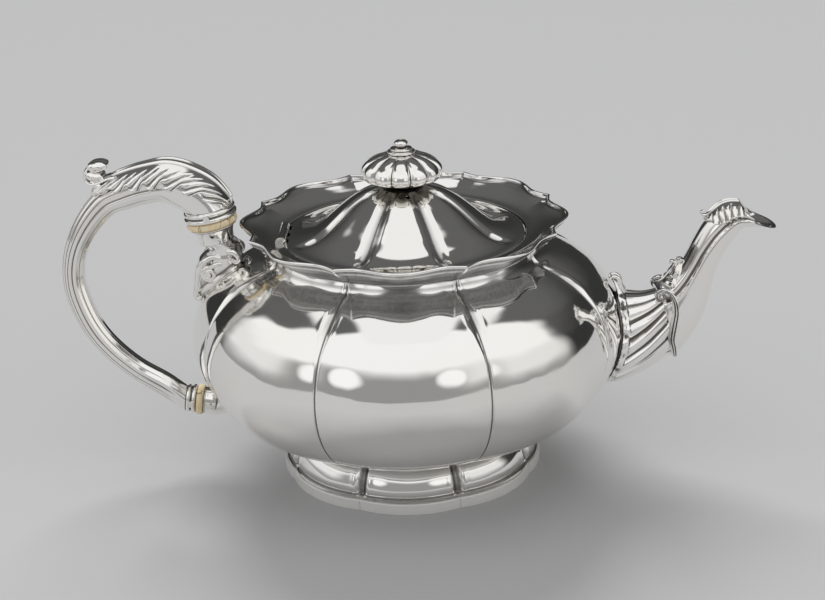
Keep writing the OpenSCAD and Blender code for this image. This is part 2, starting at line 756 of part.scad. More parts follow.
module handle_pins() {
    up = half_disc + pin_up;
    head = 1.1;
    color(silver_dark) {
        on_upper(up) cross_pin(2 * (upper_disc_r + 0.3) + head, true);
        on_upper(-up) cross_pin(2 * upper_tenon_d * 0.68, false);
        on_lower(up) cross_pin(2 * (lower_disc_r - 0.6) + head, true);
        on_lower(-up) cross_pin(2 * (lower_disc_r - 0.4) + head, true);
    }
}

// ---- handle ----

handle_sides = 20;

// stations of the handle from its upper to its lower end: share of the reach outside the
// body's crown, share of the height between the joints, slope, then half height and half
// width as shares of the handle's radius at its top
function handle_at(x, z, slope, h, w) =
    [-body_r - handle_reach * x, mix(lower_z, upper_mid_z, z), slope,
        handle_top_r * h, handle_top_r * w];
handle_ends = half_disc + ferrule_l + 2 * solder;
handle_start = [upper_at(handle_ends)[0], upper_at(handle_ends)[2], 90 + upper_lean,
    handle_top_r, handle_top_r];
handle_end = [lower_at(handle_ends)[0], lower_at(handle_ends)[2], 360 - lower_dip,
    handle_low_r, handle_low_r];
handle_form = [
    handle_start,
    handle_at(-0.08, 1.155, 133, 0.978, 0.978),
    handle_at(0.105, 1.21, 163, 0.89, 0.945),
    handle_at(0.27, 1.2, 183, 0.813, 0.89),
    handle_at(0.445, 1.165, 199, 0.758, 0.824),
    handle_at(0.61, 1.113, 222, 0.67, 0.747),
    handle_at(0.765, 0.995, 243, 0.604, 0.681),
    handle_at(0.87, 0.862, 262, 0.538, 0.637),
    handle_at(0.91, 0.726, 270, 0.505, 0.615),
    handle_at(0.888, 0.597, 281, 0.516, 0.604),
    handle_at(0.808, 0.447, 299, 0.516, 0.593),
    handle_at(0.68, 0.316, 314, 0.516, 0.582),
    handle_at(0.485, 0.19, 326, 0.516, 0.571),
    handle_at(0.267, 0.093, 336, 0.538, 0.571),
    handle_end];
handle_steps = 2;

module handle_tube() {
    stations = curve(handle_form, handle_steps);
    last = len(stations) - 1;
    outer = [for (s = stations) tube_ring(s, handle_sides)];
    inner = [for (i = [last:-1:0]) tube_ring(stations[i], handle_sides, -handle_wall)];
    color(silver)
    skin(concat(outer, inner), loop = true);
}

leaf_steps = 3;
leaf_proud = 1.05;
handle_leaf_stations = curve([for (i = [0:5]) handle_form[i]], leaf_steps);

module handle_leaf() {
    wraps = [70, 76, 80, 84, 84, 86, 86, 84, 84, 82, 80, 74, 66, 52, 30];
    color(silver_dark)
    skin([for (i = [0:len(wraps) - 1])
        leaf_ring(handle_leaf_stations[i], 180, wraps[i], 14, leaf_proud)]);
}

// rolled end of the leaf: a scroll across the handle on a tongue that stands on the leaf
module thumb_scroll() {
    s = handle_leaf_stations[4 * leaf_steps + 1];
    roll_r = 4.3;
    roll_w = 9.6;
    tongue_h = 1.2;
    tongue_fore = 6.5;
    tongue_fore_top = 2.4;
    tongue_aft = 3;
    tongue_aft_top = 2;
    roll_back = 1;
    roll_over = 0.4;
    seat = s[3] + leaf_proud + solder;
    color(silver_dark)
    translate([s[0], 0, s[1]])
    rotate([90, 180 - s[2], 0])
    translate([0, seat, -roll_w / 2])
    union() {
        linear_extrude(roll_w)
        polygon([
            [tongue_fore, 0], [-tongue_aft, 0],
            [-tongue_aft_top, tongue_h + roll_r], [tongue_fore_top, tongue_h + roll_r * 0.6]]);
        translate([-roll_back, tongue_h + roll_r, -roll_over])
        cylinder(r = roll_r, h = roll_w + 2 * roll_over);
    }
}

body();
foot();
foot_band();
rim_border();
strainer();
spout_root();
spout_neck();
spout_scrolls();
spout_leaf();
upper_socket();
upper_socket_mount();
lower_socket();
lower_socket_mount();
upper_insulator();
lower_insulator();
upper_ferrule();
lower_ferrule();
handle_tube();
handle_leaf();
thumb_scroll();
handle_pins();
lid();
lid_bezel();
finial_stem();
finial();
finial_button();
finial_stud();
finial_washer();
finial_nut();
hinge_rim_knuckles();
hinge_lid_knuckles();
hinge_pin();
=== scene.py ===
"""Looks of a lobed silver teapot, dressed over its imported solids.

Every new surface is a numpy grid in millimetres, rows by columns, whose columns join round.
+Z is up through the finial, +X runs to the spout and -X to the handle.
"""
import math

import bpy
import numpy as np
from mathutils import Matrix, Vector


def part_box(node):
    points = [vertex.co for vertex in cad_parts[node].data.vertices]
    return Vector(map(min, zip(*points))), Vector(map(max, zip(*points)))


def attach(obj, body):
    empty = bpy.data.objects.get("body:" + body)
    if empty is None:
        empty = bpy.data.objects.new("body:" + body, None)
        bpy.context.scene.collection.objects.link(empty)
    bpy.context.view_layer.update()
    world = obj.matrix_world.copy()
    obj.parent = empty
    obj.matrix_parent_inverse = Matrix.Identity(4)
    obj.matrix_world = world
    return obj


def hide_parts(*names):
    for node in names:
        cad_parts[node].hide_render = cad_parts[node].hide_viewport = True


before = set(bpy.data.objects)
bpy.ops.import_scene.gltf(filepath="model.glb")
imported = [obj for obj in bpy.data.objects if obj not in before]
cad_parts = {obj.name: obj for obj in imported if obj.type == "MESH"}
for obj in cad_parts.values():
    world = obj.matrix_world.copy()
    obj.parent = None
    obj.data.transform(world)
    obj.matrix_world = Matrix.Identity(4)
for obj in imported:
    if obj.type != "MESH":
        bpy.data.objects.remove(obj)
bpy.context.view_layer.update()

MM = 0.001


def corners(node):
    """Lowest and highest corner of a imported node, in millimetres."""
    low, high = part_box(node)
    return np.array(low) / MM, np.array(high) / MM


# ---- sizes, in millimetres ----

LOBES = 8
HALF = math.pi / LOBES
WALL = 0.9
GAP = 0.05
(_, _, FOOT_H), (_, BODY_R, NECK_Z) = corners("body")
BODY_MID_Z = 58.5
NECK_R, BASE_R = 54.0, 41.5
_, (_, FOOT_R, BAND_H) = corners("foot_band")
RIM_R, RIM_Z = 65.2, corners("rim_border")[1][2]
LID_R = 48.0
(_, _, LID_EDGE_Z), (_, _, LID_TOP_Z) = corners("lid")
(_, _, FINIAL_Z), (_, _, FINIAL_TOP_Z) = corners("finial")
BUTTON_TOP_Z = corners("finial_button")[1][2]


# ---- helpers for grids ----

def mix(a, b, t):
    """a where t is 0, b where t is 1, and straight between them."""
    return a + (b - a) * t


def rise(x, low, high):
    """Smooth step: 0 up to low, 1 from high, and 3t^2 - 2t^3 between them."""
    t = np.clip((x - low) / (high - low), 0, 1)
    return t * t * (3 - 2 * t)


def bell(x, width):
    """exp(-(x / width)^2)."""
    return np.exp(-(x / width) ** 2)


def circle(count):
    """Angles evenly round a full turn, as one row."""
    return np.linspace(0, 2 * np.pi, count, endpoint=False)[None, :]


def split(table):
    """The columns of a table, each standing up so that it spreads over a grid's rows."""
    return [table[:, k:k + 1] for k in range(table.shape[1])]


def graded(count, places, values):
    """Numbers for count rows: straight lines between the values at places from 0 to 1."""
    return np.interp(np.linspace(0, 1, count), places, values)


def curve(points, count, measured=2):
    """Catmull-Rom curve through rows of numbers, as count rows that are evenly spaced along
    the length that its first measured columns make."""
    p = np.asarray(points, float)
    q = np.vstack([2 * p[0] - p[1], p, 2 * p[-1] - p[-2]])
    spans, per_span = len(p) - 1, 48
    s = np.linspace(0, spans, per_span * spans + 1)
    i = np.minimum(s.astype(int), spans - 1)
    t = (s - i)[:, None]
    a, b, c, d = q[i], q[i + 1], q[i + 2], q[i + 3]
    fine = (b + (c - a) * t / 2 + (2 * a - 5 * b + 4 * c - d) * t ** 2 / 2
            + (3 * b - a - 3 * c + d) * t ** 3 / 2)
    steps = np.linalg.norm(np.diff(fine[:, :measured], axis=0), axis=1)
    run = np.concatenate([[0], np.cumsum(steps)])
    even = np.linspace(0, run[-1], count)
    return np.stack([np.interp(even, run, fine[:, k]) for k in range(p.shape[1])], 1)


def loft(rings, rows=40):
    """Rings of points joined by one smooth curve along the rows."""
    flat = np.stack(rings).reshape(len(rings), -1)
    return curve(flat, rows, flat.shape[1]).reshape(rows, -1, 3)


def arc(centre, radius, start, end, count):
    """Points on a circle in a profile's plane, from start to end in degrees."""
    f = np.radians(np.linspace(start, end, count))
    return np.stack([centre[0] + radius * np.cos(f), centre[1] + radius * np.sin(f)], 1)


def off_crown(a, n=LOBES):
    """Angle from the crown of the nearest of n lobes."""
    half = np.pi / n
    return (a + half) % (2 * half) - half


def from_crease(r, a, n=LOBES):
    """Length along a ring of radius r to the nearest crease of n lobes."""
    return r * (np.pi / n - np.abs(off_crown(a, n)))


def lobed(a, k, n=LOBES):
    """Outline of n arcs that bulge to 1 on their crowns and meet in creases at k."""
    b = off_crown(a, n)
    d = (1 - k * k) / (2 * (1 - k * np.cos(np.pi / n)))
    return d * np.cos(b) + np.sqrt((1 - d) ** 2 - (d * np.sin(b)) ** 2)


def angles(per_lobe, crowd=0.6, n=LOBES):
    """Angles round a piece of n lobes, closer together at the creases: within a lobe,
    v + crowd sin(pi v) / pi for v from -1 to 1."""
    v = np.arange(per_lobe) / per_lobe * 2 - 1
    v = v + crowd * np.sin(np.pi * v) / np.pi
    half = np.pi / n
    return (half * v[None, :] + 2 * half * np.arange(n)[:, None]).ravel()[None, :]


def turned(r, z, a):
    """Rings of radius r at height z over the angles a; both may vary over the grid."""
    r, z = np.broadcast_arrays(r, z)
    r, z = (np.broadcast_to(g, (g.shape[0], a.shape[1])) for g in (r, z))
    return np.stack([r * np.cos(a), r * np.sin(a), z], -1)


def ring_of(stations, f, grow=0.0):
    """Rings across a tube in the XZ plane. A station is x, z, the slope of the run in
    degrees, half height and half width; the angles f start on the left of the run."""
    x, z, slope, h, w = split(stations)
    s = np.radians(slope)
    up = (h + grow) * np.cos(f)
    return np.stack([x - up * np.sin(s), -(w + grow) * np.sin(f), z + up * np.cos(s)], -1)


def tilted(a, x, z, rx, ry, lean):
    """Ellipses over the angles a about x, z in the XZ plane, leaning up from level towards +X
    by an angle in radians."""
    out = rx * np.cos(a)
    return np.stack([x + out * math.cos(lean), ry * np.sin(a), z + out * math.sin(lean)], -1)


def frames(path, hint):
    """Unit vectors across a path: one as near to hint as can be, and one square to that and
    to the run."""
    run = np.gradient(path, axis=0)
    run /= np.linalg.norm(run, axis=1, keepdims=True)
    side = hint - run * (run * hint).sum(1, keepdims=True)
    side /= np.linalg.norm(side, axis=1, keepdims=True)
    return side, np.cross(run, side)


def sweep(path, radii, sides, flat=1.0, start=(0, 1, 0)):
    """Round rope of the given radii along the points of path. Its cross direction is start
    made square to the run, and flat squeezes the other direction."""
    side, up = frames(path, np.array(start, float))
    f = circle(sides)[..., None]
    r = np.asarray(radii, float).reshape(-1, 1, 1)
    return path[:, None] + r * (side[:, None] * np.cos(f) + flat * up[:, None] * np.sin(f))


# ---- helpers for meshes ----

def hollowness(grid, loop, outward):
    """How hollow each point lies: the mean of the points two steps away, less the point, along
    the outward normal, over half their mean squared distance. In 1/mm, above 0 in a hollow."""
    away = 2
    padded = np.pad(grid, ((away, away), (0, 0), (0, 0)), "wrap" if loop else "edge")
    rows = padded[:-2 * away], padded[2 * away:]
    columns = np.roll(grid, away, 1), np.roll(grid, -away, 1)
    normal = np.cross(columns[1] - columns[0], rows[1] - rows[0]) * outward
    normal /= np.linalg.norm(normal, axis=-1, keepdims=True) + 1e-9
    found, most = 0, 2
    for pair in (rows, columns):
        lift = (((pair[0] + pair[1]) / 2 - grid) * normal).sum(-1)
        spread = (((pair[0] - pair[1]) / 2) ** 2).sum(-1) + 1e-4
        found = found + 2 * lift / spread
    return np.clip(found, -most, most)


def closed(grid, loop=False, painted_shade=0.0):
    """A closed solid from a grid: a loop joins the last row to the first, and otherwise each
    end ring is closed by a fan to its middle. Returns points, faces and hollowness; painted_shade
    adds a painted shade to that, which the finish darkens like the hollows."""
    rows, columns = grid.shape[:2]
    r = np.arange(rows if loop else rows - 1)[:, None]
    c = np.arange(columns)[None, :]
    r2, c2 = (r + 1) % rows, (c + 1) % columns
    quads = np.stack([r * columns + c, r * columns + c2, r2 * columns + c2, r2 * columns + c], -1)
    quads = quads.reshape(-1, 4)
    points, fans = grid.reshape(-1, 3), np.zeros((0, 3), int)
    if not loop:
        c, c2 = c.ravel(), c2.ravel()
        last, n = (rows - 1) * columns, len(points)
        low = np.stack([c2, c, np.full(columns, n)], 1)
        high = np.stack([last + c, last + c2, np.full(columns, n + 1)], 1)
        fans = np.vstack([low, high])
        points = np.vstack([points, grid[0].mean(0), grid[-1].mean(0)])
    triangles = np.vstack([quads[:, :3], quads[:, [0, 2, 3]], fans])
    a, b, c = (points[triangles[:, k]] for k in range(3))
    outward = np.sign((np.cross(a, b) * c).sum())
    if outward < 0:
        quads, fans = quads[:, ::-1], fans[:, ::-1]
    hollow = (hollowness(grid, loop, outward) + painted_shade).ravel()
    hollow = np.concatenate([hollow, np.zeros(len(points) - len(hollow))])
    return points, quads, fans, hollow


def rope(points, count, places, radii, sides=18, flat=1.0):
    """Closed rope on a smooth curve through the points; its radius runs straight between
    those given at places from 0 to 1."""
    return closed(sweep(curve(points, count, 3), graded(count, places, radii), sides, flat))


def eye(x, z, y_from, y_to, radii):
    """Short plug along Y that closes the eye of a volute."""
    ends = np.array([(x, y_from, z), (x, y_to, z)])
    return closed(sweep(ends, radii, 20, start=(1, 0, 0)))


def show(name, data):
    """New object of the scene, at the origin."""
    thing = bpy.data.objects.new(name, data)
    bpy.context.scene.collection.objects.link(thing)
    return thing


def piece(name, parts, finish, node, body="pot", sharp=40):
    """One object made of closed parts, with its finish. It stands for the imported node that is
    named, and rides on a body."""
    starts = np.cumsum([0] + [len(part[0]) for part in parts])
    points, hollow = (np.concatenate([part[k] for part in parts]) for k in (0, 3))
    quads, fans = (np.concatenate([part[k] + start for part, start in zip(parts, starts)])
                   for k in (1, 2))
    mesh = bpy.data.meshes.new(name)
    mesh.vertices.add(len(points))
    mesh.vertices.foreach_set("co", (points * MM).astype(np.float32).ravel())
    totals = np.concatenate([np.full(len(quads), 4), np.full(len(fans), 3)])
    mesh.loops.add(int(totals.sum()))
    mesh.loops.foreach_set("vertex_index", np.concatenate([quads.ravel(), fans.ravel()]))
    mesh.polygons.add(len(totals))
    mesh.polygons.foreach_set("loop_start", np.concatenate([[0], np.cumsum(totals)[:-1]]))
    mesh.polygons.foreach_set("use_smooth", np.ones(len(totals), bool))
    mesh.update(calc_edges=True)
    mesh.validate()
    mesh.set_sharp_from_angle(angle=math.radians(sharp))
    mesh.materials.append(finish)
    thing = show(name, mesh)
    # the hollow mark: hollowness, for tarnish and painted shade, plus the painted shade given to the
    # part
    write_marks(thing, "hollow", hollow)
    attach(thing, body)
    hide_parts(node)
    return thing


def write_marks(thing, name, values):
    """Gives each point of a piece a number that its finish reads by name."""
    marks = thing.data.attributes.new(name, "FLOAT", "POINT")
    marks.data.foreach_set("value", np.asarray(values, np.float32))


def cut_out(thing, points, faces):
    """Takes the solid of these points and faces out of a piece."""
    mesh = bpy.data.meshes.new("cutter")
    mesh.from_pydata((points * MM).tolist(), [], faces)
    cutter = show("cutter", mesh)
    cut = thing.modifiers.new("cut", "BOOLEAN")
    cut.operation, cut.object, cut.solver = "DIFFERENCE", cutter, "EXACT"
    bpy.context.view_layer.update()
    seen = thing.evaluated_get(bpy.context.evaluated_depsgraph_get())
    uncut, left = thing.data, bpy.data.meshes.new_from_object(seen)
    thing.modifiers.remove(cut)
    thing.data = left
    bpy.data.objects.remove(cutter)
    bpy.data.meshes.remove(uncut)


def drill(thing, low, high, diameter, sides=32):
    """Cuts a round hole through a piece, from the point low to the point high."""
    path = np.array([low, high], float)
    run = (path[1] - path[0]) / np.linalg.norm(path[1] - path[0])
    across = (0, 1, 0) if abs(run[1]) < 0.9 else (1, 0, 0)
    points, quads, fans, _ = closed(sweep(path, [diameter / 2] * 2, sides, start=across))
    cut_out(thing, points, quads.tolist() + fans.tolist())


# ---- finishes ----

def maths(operation, swapped=False):
    """Method that adds one Math node to a socket and another value, or to those swapped."""
    def method(self, other=0.0):
        a, b = (other, self) if swapped else (self, other)
        return self.finish.node("Math", {"operation": operation}, {0: a, 1: b})
    return method


class Socket:
    """An output socket that takes part in arithmetic; each operator adds its Math node."""

    __add__ = __radd__ = maths("ADD")
    __sub__, __rsub__ = maths("SUBTRACT"), maths("SUBTRACT", swapped=True)
    __mul__ = __rmul__ = maths("MULTIPLY")
    __pow__, __abs__ = maths("POWER"), maths("ABSOLUTE")
    least, most = maths("MINIMUM"), maths("MAXIMUM")
    arcsine, arctangent_over = maths("ARCSINE"), maths("ARCTAN2")

    def __init__(self, finish, link):
        self.finish, self.link = finish, link

    def between(self, low, high):
        """0 up to low, 1 from high, and a smooth step between them."""
        return self.finish.node("MapRange", {"interpolation_type": "SMOOTHSTEP"},
                                {"Value": self, "From Min": low, "From Max": high}, "Result")


class Finish:
    """A procedural material. node() adds any node and returns one of its outputs."""

    def __init__(self, name):
        self.material = bpy.data.materials.new(name)
        self.start(self.material)

    def start(self, owner):
        """Takes an empty node tree from its owner, a material or a world."""
        owner.use_nodes = True
        self.tree = owner.node_tree
        self.tree.nodes.clear()

    def node(self, kind, settings=None, sockets=None, out=0):
        made = self.tree.nodes.new("ShaderNode" + kind)
        for key, value in (settings or {}).items():
            setattr(made, key, value)
        for key, value in (sockets or {}).items():
            if isinstance(value, Socket):
                self.tree.links.new(value.link, made.inputs[key])
            else:
                made.inputs[key].default_value = value
        return None if out is None else Socket(self, made.outputs[out])

    def place(self, scale, turn):
        """Object coordinates, scaled and turned."""
        spot = self.node("TexCoord", out="Object")
        return self.node("Mapping", None, {"Vector": spot, "Scale": scale, "Rotation": turn})

    def noise(self, per_mm, detail, scale=(1, 1, 1), turn=(0, 0, 0)):
        """Cloudy noise from 0 to 1 with the given number of features to a millimetre."""
        return self.node("TexNoise", None, {"Vector": self.place(scale, turn), "Detail": detail,
                                            "Scale": per_mm / MM})

    def mark(self, name):
        """The numbers that a piece's points carry under a name."""
        return self.node("Attribute", {"attribute_name": name}, out="Fac")

    def tint(self, share, low, high):
        """Colour that runs from low to high by the share."""
        return self.node("Mix", {"data_type": "RGBA"}, {0: share, 6: low, 7: high}, 2)

    def lift(self, height, depth, normal=None):
        """Bump from a height of 0 to 1 that stands for depth in millimetres."""
        sockets = {"Height": height, "Distance": depth * MM, "Strength": 1.0}
        if normal:
            sockets["Normal"] = normal
        return self.node("Bump", None, sockets)

    def close(self, sockets):
        """Principled shader with the given sockets, sent to the output."""
        shader = self.node("BsdfPrincipled", None, sockets, "BSDF")
        self.node("OutputMaterial", None, {"Surface": shader}, out=None)
        return self.material


def silver(name, bright=(0.93, 0.922, 0.905), dark=(0.30, 0.265, 0.22), polish=0.05,
           dents=0.05, tarnish_and_shade=1.0, dent_size=14.0, reach=0.9, metal=1.0):
    """Polished silver: slow dents of the hammer, faint wipe marks, a slight warm cast in
    patches, and darker in the hollows, partly sulphide tarnish and partly painted shade, and
    where a piece's hollow mark carries painted shade; fully so from the hollowness reach."""
    f = Finish(name)
    cloud = f.noise(0.03, 3.0)
    grain = f.noise(0.9, 4.0)
    wipes = f.noise(2.2, 3.0, scale=(0.15, 0.15, 1.0), turn=(0.3, 0.2, 0.5))
    # deep is the share of the dark colour: sulphide tarnish in the hollows plus painted shade and
    # painted dark reflection, read from the hollow mark
    deep = f.mark("hollow").between(0.06, reach) * tarnish_and_shade * (0.75 + 0.3 * grain)
    deep = deep.least(1.0)
    warm = (bright[0], bright[1] * 0.992, bright[2] * 0.965, 1)
    clean = f.tint(cloud.between(0.35, 0.7), (*bright, 1), warm)
    rough = polish + 0.035 * cloud.between(0.4, 0.75) + 0.02 * wipes + 0.28 * deep
    dent_depth, wipe_depth = dents * 6, 0.0012
    normal = f.lift(f.noise(1 / dent_size, 1.0), dent_depth)
    normal = f.lift(wipes, wipe_depth, normal)
    return f.close({"Base Color": f.tint(deep, clean, (*dark, 1)), "Metallic": metal,
                    "Roughness": rough, "Normal": normal})


def ivory_finish():
    """Old ivory: cream, browner at its edges against the silver, with fine dark cracks along
    the grain and a waxed surface."""
    f = Finish("ivory")
    grain = f.noise(0.5, 4.0, scale=(1, 1, 0.25))
    cell, crack_depth, grain_depth = 1 / 0.13, -0.08, 0.02
    cracks = f.node("TexVoronoi", {"feature": "DISTANCE_TO_EDGE"},
                    {"Vector": f.place((1, 1, 0.3), (0.2, 0.4, 0)), "Scale": 1 / (cell * MM)},
                    "Distance")
    crack = 1 - cracks.between(0.0, 0.02)
    cream = f.tint(grain.between(0.3, 0.7), (0.90, 0.73, 0.44, 1), (0.95, 0.83, 0.58, 1))
    stain = (f.mark("edge") * (0.35 + 0.9 * grain)).least(1.0)
    aged = f.tint(stain, cream, (0.52, 0.29, 0.09, 1))
    normal = f.lift(grain, grain_depth, f.lift(crack, crack_depth))
    return f.close({"Base Color": f.tint(crack * 0.75, aged, (0.20, 0.11, 0.05, 1)),
                    "Roughness": 0.3 + 0.2 * grain, "Normal": normal,
                    "Subsurface Weight": 0.12, "Subsurface Radius": (0.004, 0.002, 0.001),
                    "Subsurface Scale": 1.0})


# The dark colours are what the hollow mark darkens to: sulphide tarnish in the hollows and painted
# shade; the near-grey darks of sheet_silver and lid_silver stand for painted dark reflections on the
# shoulder, rim and lid.
sheet_silver = silver("sheet_silver", dark=(0.22, 0.21, 0.195))
cast_silver = silver("cast_silver", dark=(0.20, 0.185, 0.165), dents=0.012, tarnish_and_shade=1.2,
                     polish=0.07, dent_size=6.0, reach=0.75)
lid_silver = silver("lid_silver", dark=(0.17, 0.165, 0.16), dents=0.03, dent_size=18.0)
handle_silver = silver("handle_silver", dents=0.02, polish=0.07, dent_size=9.0, reach=0.5)
leaf_silver = silver("leaf_silver", dark=(0.36, 0.345, 0.32), dents=0.012, polish=0.08,
                     dent_size=6.0)
band_silver = silver("band_silver", dents=0.03, polish=0.3, dent_size=9.0, metal=0.35)
plain_silver = silver("plain_silver", bright=(0.86, 0.85, 0.82), dents=0.01, polish=0.16)
ivory = ivory_finish()


# ---- body ----

FINE = 400      # samples along the body's profile

# radius and height along a lobe's crown from the belly up: round, then flatter over the
# shoulder, and a cove up to the neck
SHOULDER = [(BODY_R, BODY_MID_Z), (86.1, 62.6), (84.4, 68.6), (81.9, 74.0), (79.4, 77.6),
            (77.3, 80.2), (75.1, 82.6), (72.3, 84.8), (68.8, 87.0), (64.9, 88.8), (61.2, 90.1),
            (58.3, 91.2), (56.6, 92.3), (55.2, 93.9), (NECK_R, NECK_Z)]


def body_profile(t):
    """Crown radius and height for t from -1, the base, to 1, the neck: a quarter of a
    squared-off ellipse below the belly and the shoulder's curve above it."""
    t = np.asarray(t, float)
    s, c = np.sin(np.abs(t) * np.pi / 2), np.cos(t * np.pi / 2)
    low_r, low_z = mix(BASE_R, BODY_R, c), mix(BODY_MID_Z, FOOT_H, s ** 0.95)
    run, line = np.linspace(0, 1, FINE), curve(SHOULDER, FINE)
    up_r, up_z = np.interp(t, run, line[:, 0]), np.interp(t, run, line[:, 1])
    return np.where(t > 0, up_r, low_r), np.where(t > 0, up_z, low_z)


# height, crease share of the lobes, depth and half width of the groove along each crease
BODY_CREASE = np.array([
    (20, 0.982, 0.3, 0.8), (30, 0.979, 0.35, 0.8), (45, 0.978, 0.35, 0.8), (60, 0.978, 0.35, 0.8),
    (72, 0.980, 0.4, 0.9), (76, 0.980, 0.6, 1.3), (79, 0.977, 1.0, 1.9), (82, 0.972, 1.5, 2.5),
    (85, 0.965, 1.9, 3.0), (88, 0.958, 1.8, 2.8), (91, 0.958, 1.2, 1.9), (93.5, 0.968, 0.6, 1.2),
    (95.6, 0.985, 0.2, 0.8)])


def body_radius(r, z, a):
    """Lobed ring less a groove that is sharp at the crease and eases out over its width, with
    a faint lip beside it."""
    k, depth, width = (np.interp(z, BODY_CREASE[:, 0], BODY_CREASE[:, i]) for i in (1, 2, 3))
    away = from_crease(r, a)
    start = -0.35
    groove = (1 - rise(away / width, start, 1)) / (1 - rise(0, start, 1))
    lip = 0.1 * depth * bell(away - width * 1.1, width * 0.25)
    return r * lobed(a, k) - depth * groove + lip


def make_body():
    """The lobed shell from base to neck, and the lining back down one wall further in. A
    painted dark reflection lies beside the creases on the shoulder, and a painted shade in a line
    under the rim."""
    a = angles(80, crowd=0.75)
    shell_rows, lining_rows = 131, 25
    r, z = body_profile(np.linspace(-1, 1, shell_rows)[:, None])
    shell = turned(body_radius(r, z, a), z, a)
    shoulder_at, neck_line = 86, (92.8, 94.0)
    # painted dark reflection beside the shoulder's creases, and painted shade in a line under the
    # rim
    beside = 0.45 * bell(z - shoulder_at, 6.0) * (1 - rise(from_crease(r, a), 1.2, 2.8))
    painted_shade = np.maximum(beside, 0.5 * rise(z, *neck_line))
    r, z = body_profile(np.linspace(1, -1, lining_rows)[:, None])
    lining = turned(body_radius(r, z, a) - WALL, np.clip(z, FOOT_H + WALL, NECK_Z), a)
    painted_shade = np.concatenate([painted_shade, np.zeros(lining.shape[:2])])
    pot = piece("body_shell", [closed(np.concatenate([shell, lining]), painted_shade=painted_shade)], sheet_silver,
                "body")
    drill(pot, (70, 0, ROOT_Z), (100, 0, ROOT_Z), SPOUT_BORE, 64)


def body_x(y, z):
    """Distance of the body's surface from the axis along X, at the points y, z: the crown's
    radius first, then made to fit the lobed ring a few times over."""
    crown = np.interp(z, *body_profile(np.linspace(-1, 1, FINE))[::-1])
    x = crown
    for _ in range(3):
        ring = body_radius(crown, z, np.arctan2(y, x))
        x = np.sqrt(np.maximum(ring ** 2 - y ** 2, 1))
    return x


def shoulder_z(x, y):
    """Height of the body's shoulder over the points x, y, made to fit in the same way."""
    r, z = body_profile(np.linspace(0, 1, FINE))
    here, a = np.hypot(x, y), np.arctan2(y, x)
    height = np.interp(-here, -r, z)
    for _ in range(4):
        crown = np.interp(height, z, r)
        height = np.interp(-here * crown / body_radius(crown, height, a), -r, z)
    return height


# ---- foot ----

def make_foot():
    """Domed panels between deep channels, under a short waist; the profile runs down the
    outside and back up inside. The upright band goes round the edge."""
    a = angles(72)
    crown = curve([(BASE_R - 0.4, 19.9), (BASE_R - 0.5, 19.0), (BASE_R + 0.3, 18.0), (44.2, 17.2),
                   (47.2, 15.6), (49.5, 12.8), (50.8, 9.6), (51.1, 7.2), (50.7, 5.9), (51.0, 5.1),
                   (51.7, 4.65)], 70)
    r, z = split(crown)
    away = from_crease(r, a)
    waist_k, wall = 0.985, 1.0
    k = waist_k - 0.008 * rise(-z, -18, -8)
    swell = rise(-z, -18.6, -15.5) * rise(z, 5.0, 7.2)
    deep, inner_deep = 2.1, 1.6
    channel = deep * swell * (1 - rise(away, 0.4, 2.9))
    shoulder = 0.315 * swell * bell(away - 3.4, 1.3)
    outer = turned(r * lobed(a, k) - channel * 0.75 + shoulder, z - channel * 0.5, a)
    inner_r = (r - wall) * lobed(a, k) - inner_deep * swell * (1 - rise(away, 0.9, 2.6))
    inside = turned(inner_r, np.maximum(z - 0.2, BAND_H + GAP), a)[::-1]
    # painted shade darkening the channels between the foot's panels
    painted_shade = np.concatenate([0.7 * channel / deep, np.zeros(channel.shape)])
    piece("foot_panels", [closed(np.concatenate([outer, inside]), True, painted_shade)], sheet_silver,
          "foot")

    edge, thick = 0.35, 1.8
    band = np.vstack([
        arc((FOOT_R - edge, BAND_H - edge), edge, 0, 90, 6), [(FOOT_R - thick, BAND_H)],
        [(FOOT_R - thick, 0)], [(FOOT_R - 0.4, 0)], arc((FOOT_R - 0.3, 0.3), 0.3, -80, 0, 5)])
    r, z = split(band)
    piece("foot_edge", [closed(turned(r * lobed(a, 0.975), z, a), loop=True)], band_silver,
          "foot_band")


# ---- rim ----

def bracketed(a):
    """Outline of the rim's eight panels: a wide bulge, a dip beside it and a flare out to a
    small point between two panels."""
    t = np.abs(off_crown(a)) / HALF
    dip_at, dip, point = 0.7, 0.06, 0.982
    bulge = 1 - dip * np.sin(np.pi / 2 * np.clip(t / dip_at, 0, 1)) ** 2
    flare = mix(1 - dip, point, np.clip((t - dip_at) / (1 - dip_at), 0, 1) ** 1.6)
    return np.where(t < dip_at, bulge, flare)


